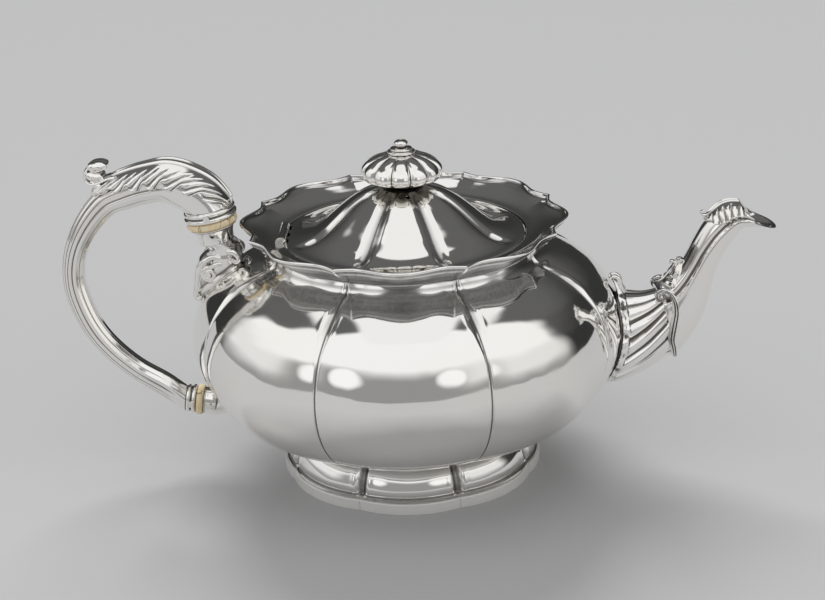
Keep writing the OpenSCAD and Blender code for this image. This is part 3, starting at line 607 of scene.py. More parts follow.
def make_rim():
    """A straight dish from the lid's seat, turned up in a narrow lip with a bead, and a cove
    underneath in to the neck, with three faint ripples. Each profile row also says how far it
    follows the panels and how far the lobes. A painted shade lies from the lip's back down
    over the cove under the rim."""
    a = angles(96, crowd=0.35)
    seat, bead = LID_R + 0.35, 0.6
    dish_rows, bead_rows, cove_rows = 36, 16, 28

    def rows(points, panel, lobe, power=1):
        """Points with their two shares, straight from end to end; panel's has a power."""
        points = np.asarray(points, float)
        panel, lobe = (np.linspace(*ends, len(points)) for ends in (panel, lobe))
        return np.column_stack([points, panel ** power, lobe])

    ledge = [(seat, 95.7), (seat, 97.2), (seat, 98.3)]
    dish = curve([(seat + 0.2, 98.5), (51.6, 98.85), (54.2, 99.6), (57.3, 100.9), (60.2, 102.0),
                  (61.6, 102.35), (62.8, 102.8), (63.9, 103.65)], dish_rows)
    lip = arc((RIM_R - 0.65, RIM_Z - bead), bead, 150, -60, bead_rows)
    cove = curve([(64.3, 102.9), (63.3, 101.9), (61.4, 100.6), (59.2, 99.3), (57.0, 98.0),
                  (55.2, 96.7), (54.25, 95.7)], cove_rows)
    down = np.linspace(0, 1, cove_rows)
    cove[:, 0] += 0.13 * down * np.sin(6 * np.pi * down)
    profile = np.vstack([
        rows(ledge, (0, 0), (0, 0)), rows(dish, (0, 1), (0, 0), power=3),
        rows(lip, (1, 1), (0, 0)), rows(cove, (0.97, 0), (0, 1)),
        rows([(53.1, 95.65), (51.5, 95.65)], (0, 0), (1, 0.5))])
    r, z, panel, lobe = split(profile)
    k = np.interp(z, BODY_CREASE[:, 0], BODY_CREASE[:, 1])
    out = r * (1 + panel * (bracketed(a) - 1) + lobe * (lobed(a, k) - 1))
    # painted shade under the rim's lip and over the cove beneath it
    from_lip = np.arange(len(profile)) - len(ledge) - dish_rows
    painted_shade = np.interp(from_lip, [9, 13, 38], [0, 0.7, 0.9])[:, None]
    piece("rim", [closed(turned(out, z, a), True, painted_shade)], lid_silver, "rim_border")


# ---- lid and finial ----

def make_lid():
    """Ogee dome of eight broad panels, with a soft channel along the creases between them and
    the underside lowered from it. Then the steam hole, and the notch for the hinge."""
    a = angles(72, crowd=0.45)
    top = curve([(LID_R, 98.1), (LID_R - 0.3, 98.4), (46.4, 98.5), (43.5, 98.75), (40, 99.6),
                 (36, 101.2), (32, 103.9), (28, 107.2), (24, 110.4), (20, 113.2), (16, 115.3),
                 (12, 116.7), (8, 117.6), (3, LID_TOP_Z)], 96)
    r, z = split(top)
    k = np.interp(r, [6, 12, 20, 28, 36, 42, 46], [0.995, 0.985, 0.975, 0.97, 0.975, 0.99, 1])
    half_wide = np.interp(r, [6, 16, 32, 44], [1.8, 3.2, 4.4, 3.6])
    channel = (1 - rise(from_crease(r, a) / half_wide, 0, 1)) * rise(r, 9, 14) * rise(-r, -46, -38)
    lobes = lobed(a, k)
    sink, channel_deep, wall = 11, 1.3, 0.75
    outer = turned(r * (0.4 + 0.6 * lobes), z - sink * (1 - lobes) - channel_deep * channel, a)
    lowered = np.minimum(z - 1.0, outer[..., 2] - wall)
    under = turned(np.minimum(r, LID_R - 0.6), np.maximum(lowered, LID_EDGE_Z), a)
    grid = np.concatenate([under[::-3][:-1], under[:1], outer])
    # painted shade along the channels between the lid's panels
    painted_shade = np.zeros(grid.shape[:2])
    painted_shade[-len(r):] = 0.3 * channel
    cover = piece("lid_dome", [closed(grid, painted_shade=painted_shade)], lid_silver, "lid", "lid")
    steam_hole = (2.2, -12.4)
    drill(cover, (*steam_hole, 112), (*steam_hole, 120), 1.8)
    low, high = np.array((-52, -10.15, 94)), np.array((-45.32, 10.15, 104))
    corner = np.array([(x, y, z) for x in (0, 1) for y in (0, 1) for z in (0, 1)])
    cut_out(cover, mix(low, high, corner), [(0, 1, 3, 2), (4, 6, 7, 5), (0, 4, 5, 1),
                                            (2, 3, 7, 6), (0, 2, 6, 4), (1, 5, 7, 3)])


def make_finial():
    """Melon of twelve lobes with narrow creases, the tiered collar and its button on top, and
    the low neck that it stands on."""
    n = 12
    a = angles(44, 0.45, n)
    side = [(7.6, 0.05), (9.2, 0.9), (12.2, 1.7), (14.3, 2.5), (15.7, 3.5), (16.2, 4.5),
            (16.3, 5.7), (15.5, 7.6), (13.8, 9.3), (11.2, 10.8), (8.2, 11.8),
            (4.4, FINIAL_TOP_Z - FINIAL_Z)]
    r, up = split(curve(side, 76))
    k = np.interp(up, [0, 2, 4, 8, 11, 12.5], [0.985, 0.96, 0.945, 0.94, 0.95, 0.97])
    crease_wide = 1.5
    crease = np.clip(1 - from_crease(r, a, n) / crease_wide, 0, 1) ** 1.5 * rise(r, 4, 8)
    melon = turned(r * lobed(a, k, n) - crease, FINIAL_Z + up, a)
    # painted shade on the melon's underside, where it meets the neck
    painted_shade = 0.9 * rise(-up, -2.6, -1.8)
    piece("finial_melon", [closed(melon, painted_shade=painted_shade)], cast_silver, "finial", "lid")

    seat, neck_seat = FINIAL_TOP_Z + GAP, LID_TOP_Z + GAP
    top = BUTTON_TOP_Z - seat
    knob = curve([(2.3, 2.9), (2.8, 3.4), (2.75, 4.1), (2.3, 4.7), (1.6, top), (1.0, top - 0.25),
                  (0.2, top - 0.45)], 24)
    collar = np.vstack([
        [(0.5, 0), (4.6, 0)], arc((5.0, 0.55), 0.55, -90, 90, 10), [(4.4, 1.2)],
        arc((4.0, 1.65), 0.42, -80, 85, 8), [(3.0, 2.2), (2.1, 2.5), (2.0, 2.75)], knob])
    piece("finial_collar", [closed(turned(*split(collar + (0, seat)), circle(96)))], cast_silver,
          "finial_button", "lid")
    neck = np.array([(0.5, 0), (6.9, 0), (6.2, 0.3), (6.5, 0.6), (8.3, 1.1), (0.5, 1.12)])
    # the whole neck is darkened as painted shade under the melon
    piece("finial_neck", [closed(turned(*split(neck + (0, neck_seat)), circle(96)), painted_shade=0.9)],
          cast_silver, "finial_stem", "lid")


# ---- spout ----

CROWN = 86.8
REACH, RISE_Z, ROOT_Z, ROOT_H = 60.0, 48.7, 52.0, 19.4
SPOUT_BORE = 26


def spout_at(x, z, slope, h, w):
    """Station of the spout from shares of its reach, its rise and the root's half height."""
    return (CROWN + REACH * x, ROOT_Z + RISE_Z * z, slope, ROOT_H * h, ROOT_H * w)


ROOT_FORM = [spout_at(*share) for share in (
    (-0.06, 0.0, 2, 0.985, 0.84), (0.02, 0.005, 3, 0.93, 0.77), (0.13, 0.03, 8, 0.855, 0.655),
    (0.22, 0.078, 11, 0.81, 0.58), (0.295, 0.133, 12, 0.79, 0.53))]
BAND_STATION = ROOT_FORM[-1]
NECK_FORM = [BAND_STATION] + [spout_at(*share) for share in (
    (0.392, 0.3, 42, 0.577, 0.464), (0.453, 0.465, 62, 0.443, 0.402),
    (0.498, 0.6, 66, 0.371, 0.366), (0.555, 0.758, 63, 0.351, 0.351),
    (0.622, 0.895, 52, 0.351, 0.345), (0.71, 1.01, 38, 0.32, 0.345),
    (0.783, 1.025, 24, 0.263, 0.345), (0.837, 1.01, 41, 0.289, 0.36),
    (0.8805, 0.982, 64, 0.325, 0.381))]


def make_spout_root():
    """A leafy plate on the body, a flange that stands free of it, and convex reeds that draw
    together on their way to the strap. The reeds' edges, in degrees from the top, are given
    for the body's end and for the strap's. The plate's edge is ragged by three cosines, and
    has a horn at the top."""
    rows = 56
    f = circle(256)
    turn = np.minimum(f, 2 * np.pi - f)
    from_top = np.degrees(turn)
    s = curve(ROOT_FORM, rows)
    u = np.linspace(0, 1, rows)[:, None]
    at_body = np.array([0, 30, 56, 82, 108, 134, 160, 180.0])
    at_strap = np.array([0, 24, 40, 58, 80, 106, 144, 180.0])
    phase = np.stack([np.interp(from_top[0], edges, np.arange(8.0))
                      for edges in mix(at_body, at_strap, u)])
    reed = 1 - np.abs(np.cos(np.pi * phase)) ** 5
    depth = (1.9 - 0.9 * u) * (0.25 + 0.75 * rise(from_top, 20, 44))
    swell = -depth * (1 - reed) + 0.5 * reed * (1 - u)
    horn = 5.0 * bell(from_top, 12.0)
    ragged = (0.9 * np.cos(7 * turn + 0.6) + 0.6 * np.cos(17 * turn)
              + 0.3 * np.cos(31 * turn + 1))
    skirt = []
    # each ring's growth, with its shares of the ragged edge and of the horn, and its distance
    # off the body, with its share of the horn
    for grow, of_edge, of_horn, off, horn_off in (
            (-1.2, 0, 0, -0.4, 0), (-1.0, 0, 0, 0.3, 0), (-0.5, 0, 0, 0.7, 0), (0.3, 0.6, 0, 0.7, 0),
            (0.9, 0.8, 0.9, 1.0, 0.25), (0.9, 0.8, 1, 1.5, 0.3), (0.55, 0.5, 0.6, 2.2, 0.3),
            (0.25, 0.15, 0.15, 3.2, 0.1)):
        ring = ring_of(s[:1], f, grow + of_edge * ragged + of_horn * horn)[0]
        ring[:, 0] = body_x(ring[:, 1], ring[:, 2]) + off + horn_off * horn
        skirt.append(ring)
    skirt = loft(skirt, 64)
    x = mix(skirt[-1:, :, 0] + 0.6, ring_of(s[-1:], f)[..., 0], u)
    z, h, w = (np.interp(x, s[:, 0], s[:, k]) for k in (1, 3, 4))
    reeds = np.stack([x, -(w + swell) * np.sin(f), z + (h + swell) * np.cos(f)], -1)
    reeds[-1:] = ring_of(s[-1:], f, swell[-1:])
    wall = 2.8
    inner = ring_of(s[::-6], f, -wall)
    inner[-1, :, 0] = skirt[0, :, 0]
    piece("spout_root_reeds", [closed(np.concatenate([skirt, reeds, inner]), loop=True)],
          cast_silver, "spout_root")


def neck_ridge(u, f):
    """The lower part of the neck overlaps the upper one: its edge is a beaded line that winds
    along each side to the lip, over a hollow."""
    at = np.interp(u, [0, 0.12, 0.3, 0.5, 0.7, 0.85, 1], [52, 62, 72, 78, 88, 94, 100])
    fade = rise(u, 0.0, 0.08) * rise(1 - u, 0.02, 0.14)
    out = 0
    for from_top in (np.degrees(f), np.degrees(2 * np.pi - f)):
        away = from_top - at
        overlap = 0.35 * rise(away, -4, 2) * rise(-away, -80, -30)
        edge = 0.45 * bell(away - 1, 4.0) - 0.75 * bell(away + 9, 7.0)
        out = out + fade * (from_top < 181) * (overlap + edge)
    return out


def make_spout_neck():
    """Swan neck that flares a little at the mouth, the rolled lip, and the wall inside."""
    rows = 160
    f = circle(160)
    s = curve(NECK_FORM, rows)
    u = np.linspace(0, 1, rows)[:, None]
    outer = ring_of(s, f, neck_ridge(u, f) + 0.5 * rise(u, 0.968, 0.992))
    thick, wall = 1.9, 1.3
    mid = ring_of(s[-1:], f, 0.5 - thick)
    onward = outer[-1] - outer[-4]
    onward /= np.linalg.norm(onward, axis=-1, keepdims=True)
    turn = np.radians(np.linspace(20, 170, 9))[:, None, None]
    roll = mix(outer[-1], mid, (1 - np.cos(turn)) / 2) + onward * np.sin(turn) * thick * 0.75
    inner = ring_of(s[::-5], f, -wall)
    piece("spout_swan_neck", [closed(np.concatenate([outer, roll, inner]), loop=True)], cast_silver,
          "spout_neck")


def spiral(centre, start_r, end_r, start, turns, count, y):
    """Points that wind in about a centre in the XZ plane; the radius shrinks evenly."""
    f = np.radians(start) + np.linspace(0, turns * 2 * np.pi, count)
    r = np.linspace(start_r, end_r, count)
    return np.stack([centre[0] + r * np.cos(f), np.full(count, y), centre[1] + r * np.sin(f)], 1)


def ribbon(path, normals, half_wide, half_thick):
    """Band along path with two grooves down its face: across it, cos(p) of the half width, and
    sin(p) of the half thickness less the dips. Normals stand on its face."""
    face, across = frames(path, normals)
    sides = 44
    p = circle(sides)[..., None]
    c = np.cos(p)
    wide, thick = (v.reshape(-1, 1, 1) for v in (half_wide, half_thick))
    dip = 1 - 0.6 * bell(c - 0.3, 0.12) - 0.6 * bell(c + 0.3, 0.12)
    return path[:, None] + wide * across[:, None] * c + thick * dip * face[:, None] * np.sin(p)


def make_spout_scrolls():
    """The strap over the joint: a grooved band up each side that curls back into a volute, a
    bar between the volutes, and a small sprig on the body above the root."""
    parts = []
    count = 140
    volute = (101.2, 71.2)
    for side in (-1, 1):
        hoop = ring_of(np.array([BAND_STATION]), np.radians(np.linspace(184, 96, 24)), 0.35)[0]
        hoop[:, 1] *= -side
        y = hoop[-1, 1]
        over = np.array([(106.3, 1, 60.6), (106.9, 0.97, 65.0), (106.3, 0.88, 69.4),
                         (104.6, 0.8, 72.4), (102.2, 0.74, 73.6)]) * (1, y, 1)
        coil = spiral(volute, 2.35, 0.6, 78, 1.5, 48, y * 0.7)
        coil[:, 1] += np.linspace(0, side * 0.8, 48)
        path = curve(np.vstack([hoop[::4], over, coil[2::3]]), count, 3)
        lean = rise(np.linspace(0, 1, count), 0.0, 0.3)[:, None]
        normals = mix(np.array([0, 0, -1.0]), np.array([0, side, 0.0]), lean)
        wide = graded(count, [0, 0.2, 0.42, 0.55, 0.68, 1], [0.7, 1.4, 1.9, 1.6, 0.95, 0.6])
        thick = graded(count, [0, 0.3, 0.7, 1], [0.9, 1.3, 1.3, 0.9])
        parts.append(closed(ribbon(path, normals, wide, thick)))
        parts.append(eye(*volute, y * 0.7 - side * 0.6, y * 0.7 + side * 1.7, [0.9, 0.5]))
        sprig = np.array([(86.6, 1.2, 71.0), (85.5, 1.4, 73.6), (85.3, 1.6, 75.8), (84.2, 1.8, 77.3),
                          (82.4, 1.8, 77.6), (81.5, 1.8, 76.6), (82.1, 1.8, 75.8)]) * (1, side, 1)
        parts.append(rope(sprig, 50, [0, 0.6, 1], [1.5, 0.85, 0.5], sides=16))
    bridge = curve([(101.2, y, 71.0) for y in (-6.2, -3, 0, 3, 6.2)], 13, 3)
    waist = 1.45 + 0.6 * np.linspace(-1, 1, 13) ** 2
    parts.append(closed(sweep(bridge, waist, 24, start=(1, 0, 0))))
    piece("spout_strap", parts, cast_silver, "spout_scrolls")


def leaf(stations, centre, wraps, fingers, lean, proud, rows, across, cut, plain, spine, ribs=1):
    """Acanthus leaf over a tube. u runs from its root to its tip and v across it, from -1 to 1
    over the wrap each way. Fingers repeat along the phase p = fingers u - lean |v|; the edge
    follows 1 - |cos(pi p)|^3, and the ribs that run back from it, ribs to a finger, follow
    1 - |cos(pi p)|^6 up to a plain middle with a pair of raised lines."""
    u = np.linspace(0, 1, rows)[:, None]
    v = np.linspace(-1, 1, across)[None, :]
    side = np.abs(v)
    s = curve(stations, rows)
    wrap = np.radians(np.interp(u, np.linspace(0, 1, len(wraps)), wraps))

    def wave(phase, power):
        """1 - |cos(pi phase)|^power: 0 in the cuts and 1 on the fingers or ribs."""
        return 1 - np.abs(np.cos(np.pi * phase)) ** power

    at_edge, phase = fingers * u - lean, fingers * u - lean * side ** 0.85
    ends = rise(u, 0.0, 0.05) * rise(1 - u, 0.0, 0.04)
    notch = cut * (1 - wave(at_edge, 3)) + 0.03 * (1 - wave(ribs * at_edge, 3)) * (ribs > 1)
    f = math.radians(centre) + v * wrap * (1 - notch * ends * side ** 3)
    worked = rise(side, plain, plain + 0.4)
    carve = worked * (0.25 * wave(phase, 6) + 0.5 * wave(ribs * phase, 6) - 0.4)
    middle = spine * (bell(side - plain * 0.5, plain * 0.16) - 0.5 * bell(side, plain * 0.25))
    face = 0.75 + carve + middle + 0.2 * rise(side, 0.7, 0.95)
    face = face * (1 - 0.55 * rise(side, 0.955, 1.0))
    face = face * (0.25 + 0.75 * rise(u, -0.01, 0.04) * rise(1 - u, -0.01, 0.04))
    seat, thick = 0.2, 0.45
    front = ring_of(s, f, seat + proud * np.clip(face, 0.15, 1.8))
    back = ring_of(s, f[:, ::-(across // 12)], seat - thick)
    return closed(np.concatenate([front, back], 1))


def make_spout_leaves():
    """Leaf over the mouth's back with its root curled up, and a small leaf on the neck whose
    tip stands off behind the strap's volutes."""
    cap = leaf(NECK_FORM[5:9], 0, [12, 56, 74, 82, 84, 84, 80, 66, 40], 7, -1.5, 1.45, rows=260,
               across=110, cut=0.15, plain=0.2, spine=0.35)
    curl = rope([(122.8, 0, 103.2), (120.6, 0, 103.0), (118.7, 0, 102.2), (117.3, 0, 102.3),
                 (117.0, 0, 103.4), (117.9, 0, 104.0)], 40, [0, 1], [1.5, 0.6], flat=0.55)
    small = leaf(NECK_FORM[:4], 0, [34, 50, 54, 48, 40, 28, 12], 4, 0.7, 1.5, rows=180, across=90,
                 cut=0.16, plain=0.2, spine=0.2)
    spur = rope([(111.6, 0, 79.4), (109.6, 0, 80.2), (107.9, 0, 81.6), (106.7, 0, 83.0),
                 (105.6, 0, 83.3), (105.3, 0, 82.2)], 40, [0, 0.4, 1], [2.8, 2.0, 0.6], flat=0.5)
    piece("spout_leaves", [cap, curl, small, spur], leaf_silver, "spout_leaf")


# ---- handle joints ----

HALF_DISC, FERRULE_L = 1.6, 4.2
ROUND = 120      # points round a turned piece of a joint
TOP_R, LOW_R = 9.1, 5.3
UPPER = dict(at=(-75.9, 105.2), lean=math.radians(10), disc=10.2, collar=10.35, tube=TOP_R)
LOWER = dict(at=(-86.3, 27.9), lean=math.radians(82), disc=6.3, collar=5.7, tube=LOW_R)


def axis_point(joint, s, y=0.0):
    """Point at distance s from the disc's middle towards the handle, on the joint's axis,
    which leans from +Z towards -X."""
    return (joint["at"][0] - s * math.sin(joint["lean"]), y,
            joint["at"][1] + s * math.cos(joint["lean"]))


def along(joint, profile):
    """Turned piece on a joint's axis: profile rows are radius and distance along it."""
    r, s = split(profile)
    x, _, z = axis_point(joint, s)
    return tilted(circle(ROUND), x, z, r, r, joint["lean"])


def make_insulator(name, joint, node):
    """Disc with a round edge; the mark edge tells its finish how near the silver a point is."""
    r, edge_r = joint["disc"], 0.9
    edge = arc((r - edge_r, 0), edge_r, -90, 90, 15)
    edge[:, 1] *= (HALF_DISC - 0.08) / edge_r
    flat = [(0.5, -HALF_DISC), (r - 1.6, 0.02 - HALF_DISC)]
    profile = np.vstack([flat, edge, [(flat[1][0], -flat[1][1]), (0.5, HALF_DISC)]])
    disc = piece(name, [closed(along(joint, profile))], ivory, node)
    shade = np.repeat(rise(np.abs(profile[:, 1]) / HALF_DISC, 0.62, 1.0), ROUND)
    write_marks(disc, "edge", np.append(shade, [1, 1]))


def make_ferrule(name, joint, node):
    """Two half-round mouldings with a cove between them, down to the tube's end."""
    r, end_r, bead = joint["collar"], joint["tube"], FERRULE_L * 0.24
    profile = np.vstack([
        [(0.5, 0), (r - 0.5, 0)], arc((r - 0.5, bead * 0.9), bead * 0.88, -85, 80, 12),
        arc((r - 0.2, bead * 2.25), bead * 0.45, 250, 115, 6),
        arc((r - 0.75, bead * 3.15), bead * 0.85, -70, 85, 12),
        [(end_r + 0.1, FERRULE_L - 0.05), (end_r - 1.2, FERRULE_L), (0.5, FERRULE_L)]])
    profile[:, 1] += HALF_DISC + GAP
    piece(name, [closed(along(joint, profile))], cast_silver, node)


def make_socket(name, joint, waist, length, node):
    """Cup that widens to the disc in an even curve, with a small bead at its mouth."""
    r = joint["disc"] - 0.9
    mouth, bead = r - 0.15, 0.25
    side = curve([(waist, 0), (waist + 0.15, length * 0.3), (mix(waist, r, 0.3), length * 0.62),
                  (mix(waist, r, 0.62), length * 0.86), (mouth, length - 0.3)], 24)
    profile = np.vstack([[(0.5, 0), (waist - 0.3, 0)], side,
                         arc((mouth, length - bead), bead, -30, 85, 5), [(0.5, length)]])
    profile[:, 1] -= HALF_DISC + GAP + length
    return piece(name, [closed(along(joint, profile))], handle_silver, node)


def make_upper_cup():
    """The upper socket with the hole for its pin on the near side."""
    cup = make_socket("upper_cup", UPPER, 7.0, 6.5, "upper_socket")
    at, outside, inside, bore = -HALF_DISC - GAP - 2.4, -11.3, -3.0, 2.2
    drill(cup, axis_point(UPPER, at, outside), axis_point(UPPER, at, inside), bore)


def make_upper_mount():
    """The throat below the upper socket. It spreads over the shoulder as a thin leaf, and on
    the handle's side a fold bulges out and down to the leaf's tip. A C-scroll with a volute
    lies on each flank, a small volute stands at each side of the throat, and the tip curls."""
    a = circle(192)[0]
    c, d = np.cos(a), np.sin(a)
    outward = np.clip(-c, 0, 1)
    middle, toe, heel, half_wide = -72.0, 11.2, 8.4, 8.8

    def on_body(scale, up, fold):
        """Ring on the shoulder, narrower at the toe, raised by up and folded outwards there."""
        x = middle + np.where(c < 0, toe, heel) * scale * c
        y = half_wide * scale * d * (1 - 0.22 * outward ** 2)
        z = shoulder_z(x, y) + up
        return np.stack([x - fold * outward, y, z + fold * outward * 0.4], 1)

    x, _, z = axis_point(UPPER, -HALF_DISC - 6.6)
    rings = [tilted(a, *place, math.radians(lean)) for *place, lean in (
        (x, z, 7.0, 7.0, 10), (-72.1, 95.2, 6.55, 6.6, 9), (-71.9, 92.8, 6.5, 6.7, 6),
        (-71.9, 91.0, 7.0, 7.1, 4))]
    rings += [on_body(0.86, 1.9, 1.9), on_body(0.94, 1.2, 1.7), on_body(1.0, 0.9, 0.7),
              on_body(1.02, 0.75, 0.1), on_body(1.02, -0.3, 0.0)]
    rows = 90
    # painted shade, darker down the throat towards where it lies on the body
    painted_shade = np.interp(np.arange(rows), [30, 60, rows], [0, 0.25, 0.3])[:, None]
    parts = [closed(loft(rings, rows), painted_shade=painted_shade)]
    knob = [(-70.0, 6.4, 94.0), (-67.8, 6.7, 93.9), (-66.0, 6.9, 92.7), (-65.6, 7.0, 91.0),
            (-66.7, 7.1, 90.0), (-67.9, 7.2, 90.6), (-67.7, 7.2, 91.7)]
    fold = [(-72.6, 7.1, 91.6), (-76.0, 6.9, 92.0), (-79.4, 6.6, 90.2), (-81.6, 6.0, 86.8),
            (-82.5, 5.3, 82.6), (-83.5, 4.6, 78.4), (-84.3, 4.0, 75.4), (-83.9, 3.9, 73.8),
            (-82.6, 4.1, 74.0), (-82.5, 4.2, 75.2)]
    volute, turns = (-77.6, 84.9), 70
    coil = spiral(volute, 2.9, 0.7, 80, 1.6, turns, 7.1)
    coil[:, 1] -= 0.4 * np.cos(np.linspace(0, np.pi, turns))
    stalk = np.vstack([[(-72.2, 7.7, 89.6), (-74.6, 7.7, 89.2)], coil[::3]])
    for side in (-1, 1):
        for path, count, radii in ((knob, 80, [1.2, 1.3, 0.7]), (fold, 130, [0.8, 1.7, 0.7]),
                                   (stalk, 120, [0.9, 1.2, 0.6])):
            parts.append(rope(np.array(path) * (1, side, 1), count, [0, 0.45, 1], radii))
        parts.append(eye(*volute, side * 6.2, side * 8.3, [1.0, 0.7]))
    parts.append(rope([(-74.6, 0, 93.0), (-78.6, 0, 90.2), (-80.9, 0, 86.2), (-82.2, 0, 81.4),
                       (-83.4, 0, 77.4), (-84.0, 0, 74.8)], 70, [0, 0.3, 0.75, 1],
                      [3.4, 6.9, 5.6, 3.0], sides=40, flat=0.42))
    piece("upper_throat", parts, cast_silver, "upper_socket_mount")


def make_lower_mount():
    """Short flare from the lower socket onto the belly."""
    a = circle(96)[0]
    end, neck_r = -HALF_DISC - 5.1, 5.4
    middle_z, half_wide, half_tall = 29.4, 7.8, 7.4

    def ring(s):
        """Round ring on the joint's axis."""
        x, _, z = axis_point(LOWER, s)
        return tilted(a, x, z, neck_r, neck_r, LOWER["lean"])

    def on_belly(grow, off):
        """Ellipse on the body, grown and stood off."""
        y, z = (half_wide + grow) * np.sin(a), middle_z + (half_tall + grow) * np.cos(a)
        return np.stack([-body_x(y, z) - off, y, z], 1)

    rings = [ring(end), ring(end - 0.8), on_belly(-0.9, 0.9), on_belly(0, 0.35),
             on_belly(0.1, -0.3)]
    piece("lower_flare", [closed(loft(rings))], cast_silver, "lower_socket_mount")


# ---- handle ----

HANDLE_REACH = 51.0


def handle_at(x, z, slope, h, w):
    """Station of the handle from shares of its reach, of the height between the joints and
    of its radius at the top."""
    return (-CROWN - HANDLE_REACH * x, mix(LOWER["at"][1], UPPER["at"][1], z), slope,
            TOP_R * h, TOP_R * w)


HANDLE_END = HALF_DISC + FERRULE_L + 2 * GAP
TOP_POINT, LOW_POINT = axis_point(UPPER, HANDLE_END), axis_point(LOWER, HANDLE_END)
HANDLE_FORM = [(TOP_POINT[0], TOP_POINT[2], 100, TOP_R, TOP_R)] + [handle_at(*share) for share in (
    (-0.08, 1.155, 133, 0.978, 0.978), (0.105, 1.21, 163, 0.89, 0.945),
    (0.27, 1.2, 183, 0.813, 0.89), (0.445, 1.165, 199, 0.758, 0.824),
    (0.61, 1.113, 222, 0.67, 0.747), (0.765, 0.995, 243, 0.604, 0.681),
    (0.87, 0.862, 262, 0.538, 0.637), (0.91, 0.726, 270, 0.505, 0.615),
    (0.888, 0.597, 281, 0.516, 0.604), (0.808, 0.447, 299, 0.516, 0.593),
    (0.68, 0.316, 314, 0.516, 0.582), (0.485, 0.19, 326, 0.516, 0.571),
    (0.267, 0.093, 336, 0.538, 0.571))] + [(LOW_POINT[0], LOW_POINT[2], 352, LOW_R, LOW_R)]


def make_handle():
    """Hollow tube whose section is an octagon, cos(22.5) / cos(angle off a flat's middle) of
    the radius, with engraved lines. Both fade where the leaf and the ferrules take over."""
    rows, wall = 300, 1.2
    f = circle(128)
    s = curve(HANDLE_FORM, rows)
    u = np.linspace(0, 1, rows)[:, None]
    bare = rise(u, 0.06, 0.2) * rise(1 - u, 0.0, 0.12)
    octagon = math.cos(np.pi / 8) / np.cos(off_crown(f, 8))
    arris = 0.012 * (1 - np.abs(np.sin(4 * f))) ** 4
    line_wide, line_deep = 3.2, 0.35
    lines = sum(bell(np.abs(np.degrees(f) - 180) - at, line_wide) for at in (26, 48, 70, 95))
    grow = bare * (1.1 * s[:, 4:5] * (octagon - arris - 1) - line_deep * lines)
    tube = np.concatenate([ring_of(s, f, grow), ring_of(s[::-6], f, -wall)])
    piece("handle_loop", [closed(tube, loop=True)], handle_silver, "handle_tube", sharp=60)


def make_handle_leaf():
    """Long acanthus leaf over the handle's top."""
    cap = leaf(HANDLE_FORM[:6], 180, [50, 70, 84, 90, 94, 96, 94, 92, 88, 82, 72, 58, 36], 7, 2.1,
               1.6, rows=420, across=150, cut=0.2, plain=0.3, spine=0.5, ribs=2)
    piece("handle_acanthus", [cap], leaf_silver, "handle_leaf")


def make_thumb_scroll():
    """The leaf's end rolled up: three ribbed rolls, the lowest smallest, and the tongue that
    carries them."""

    def roll(x, z, rx, rz, half, tilt):
        """Elliptical roll across the handle: over v, its radius has three ribs and falls off
        at the ends as the root of 1 - v^4."""
        v = np.linspace(-1, 1, 40)[:, None]
        a = circle(80)
        ribbed = 0.86 + 0.14 * np.abs(np.cos(np.pi * 1.5 * v)) ** 1.2
        out = ribbed * np.sqrt(np.clip(1 - v ** 4, 0.1, 1))
        by_x, by_z, t = rx * out * np.cos(a), rz * out * np.sin(a), math.radians(tilt)
        return closed(np.stack([x + by_x * math.cos(t) - by_z * math.sin(t), v * half + 0 * a,
                                z + by_x * math.sin(t) + by_z * math.cos(t)], -1))

    tongue = rope([(-110.5, 0, 124.8), (-114.5, 0, 124.6), (-118.5, 0, 123.2), (-121.8, 0, 122.4),
                   (-123.9, 0, 124.2), (-123.7, 0, 127.0), (-121.8, 0, 129.6)], 70,
                  [0, 0.35, 0.8, 1], [3.4, 4.6, 4.3, 3.2], sides=32, flat=0.24)
    parts = [tongue, roll(-119.0, 129.2, 4.3, 2.2, 4.6, 6), roll(-120.4, 125.4, 4.0, 2.2, 5.0, -10),
             roll(-119.8, 121.9, 3.4, 1.7, 4.4, -40)]
    piece("thumb_rest", parts, cast_silver, "thumb_scroll")


# ---- floor, light and camera ----

def make_floor():
    """Pale plain floor, 40 m across."""
    half = 20.0
    mesh = bpy.data.meshes.new("floor")
    mesh.from_pydata([(-half, -half, 0), (half, -half, 0), (half, half, 0), (-half, half, 0)], [],
                     [(0, 1, 2, 3)])
    mesh.materials.append(Finish("floor_pale").close({
        "Base Color": (0.50, 0.50, 0.505, 1), "Roughness": 0.65, "Specular IOR Level": 0.25}))
    show("floor", mesh)


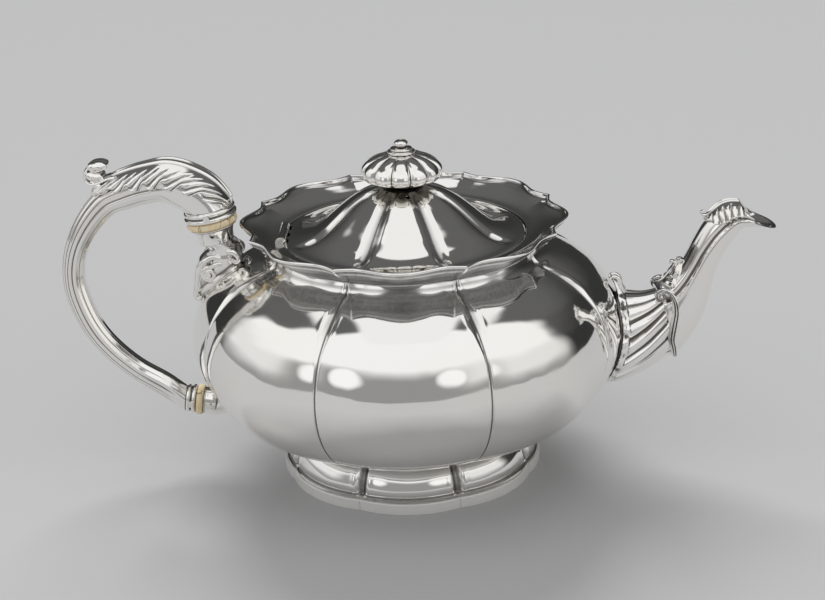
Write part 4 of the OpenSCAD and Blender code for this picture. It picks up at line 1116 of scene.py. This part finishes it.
class Sky(Finish):
    """The studio as a world shader: a wide tent of light in front and at the sides that is
    brighter above, two low glows in it, a strip of light overhead and a dim back. The tent
    is cut short high up on the handle's side."""

    def __init__(self):
        world = bpy.data.worlds.new("studio")
        bpy.context.scene.world = world
        self.start(world)
        deg = math.pi / 180
        spot = self.node("TexCoord", out="Generated")
        x, y, z = (self.node("SeparateXYZ", None, {0: spot}, axis) for axis in "XYZ")
        height = z.arcsine()
        turn = -102 * deg
        ahead = x * math.cos(turn) + y * math.sin(turn)
        aside = y * math.cos(turn) - x * math.sin(turn)
        bearing = aside.arctangent_over(ahead)
        away = abs(bearing)
        low = 0.30 + away.between(38 * deg, 62 * deg) * 0.5 * height.between(0, 14 * deg)
        tent = low + (0.94 - low) * height.between(22 * deg, 36 * deg)
        glow_height = 20 * deg
        for glow_at in (-28 * deg, 44 * deg):
            off, up = bearing - glow_at, height - glow_height
            apart = (off * off + up * up) ** 0.5
            tent = tent.most(0.98 * (1 - apart.between(7 * deg, 17 * deg)))
        short = 24 * deg * height.between(40 * deg, 54 * deg) * (1 - aside.between(-0.05, 0.0))
        in_front = 1 - (away + short).between(100 * deg, 114 * deg)
        back = 0.035 + 0.085 * height.between(12 * deg, 45 * deg)
        overhead = z.between(0.86, 0.89) * (1 - abs(x).between(0.30, 0.38))
        light = back + (tent - back) * in_front
        light = light + (0.9 - light) * overhead
        glow = self.node("Background", None, {"Color": (1, 1, 1, 1), "Strength": light})
        self.node("OutputWorld", None, {"Surface": glow}, out=None)


def make_lamp():
    """Soft lamp from behind and above that lights the floor and all that is matt; polished
    metal shows the tent instead."""
    data = bpy.data.lights.new("soft_sun", "SUN")
    data.energy = 2.5
    data.angle = math.radians(34)
    lamp = show("soft_sun", data)
    lamp.rotation_euler = (math.radians(-48), 0, math.radians(8))
    lamp.visible_glossy = False


def make_camera():
    """Camera 709 mm from the middle of the piece, looking down at 21 degrees: turned about
    +Z, tipped up from straight down, and tilted about its own line of sight."""
    distance, lens_px, frame_px = 708.8, 1762.8, 825
    turn, down, tilt = math.radians(1.75), math.radians(21.11), math.radians(-2.07)
    data = bpy.data.cameras.new("view")
    data.sensor_width = 36.0
    data.lens = lens_px / frame_px * data.sensor_width
    data.clip_start, data.clip_end = 0.01, 50
    camera = show("view", data)
    camera.matrix_world = (
        Matrix.Translation(Vector((2.31, 0, 69.26)) * MM) @ Matrix.Rotation(turn, 4, "Z")
        @ Matrix.Rotation(math.pi / 2 - down, 4, "X") @ Matrix.Rotation(tilt, 4, "Z")
        @ Matrix.Translation((0, 0, distance * MM)))
    bpy.context.scene.camera = camera


# ---- everything ----

make_camera()
make_floor()
Sky()
make_lamp()
make_body()
make_foot()
make_rim()
make_lid()
make_finial()
make_spout_root()
make_spout_neck()
make_spout_scrolls()
make_spout_leaves()
make_insulator("upper_disc", UPPER, "upper_insulator")
make_insulator("lower_disc", LOWER, "lower_insulator")
make_ferrule("upper_collar", UPPER, "upper_ferrule")
make_ferrule("lower_collar", LOWER, "lower_ferrule")
make_upper_cup()
make_socket("lower_cup", LOWER, 5.4, 5.0, "lower_socket")
make_upper_mount()
make_lower_mount()
make_handle()
make_handle_leaf()
make_thumb_scroll()

for name in ("strainer", "handle_pins", "lid_bezel", "finial_stud", "finial_washer", "finial_nut",
             "hinge_rim_knuckles", "hinge_lid_knuckles", "hinge_pin"):
    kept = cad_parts[name].data.materials
    kept.clear()
    kept.append(cast_silver if "hinge" in name else plain_silver)

bpy.context.scene.view_settings.view_transform = "Standard"
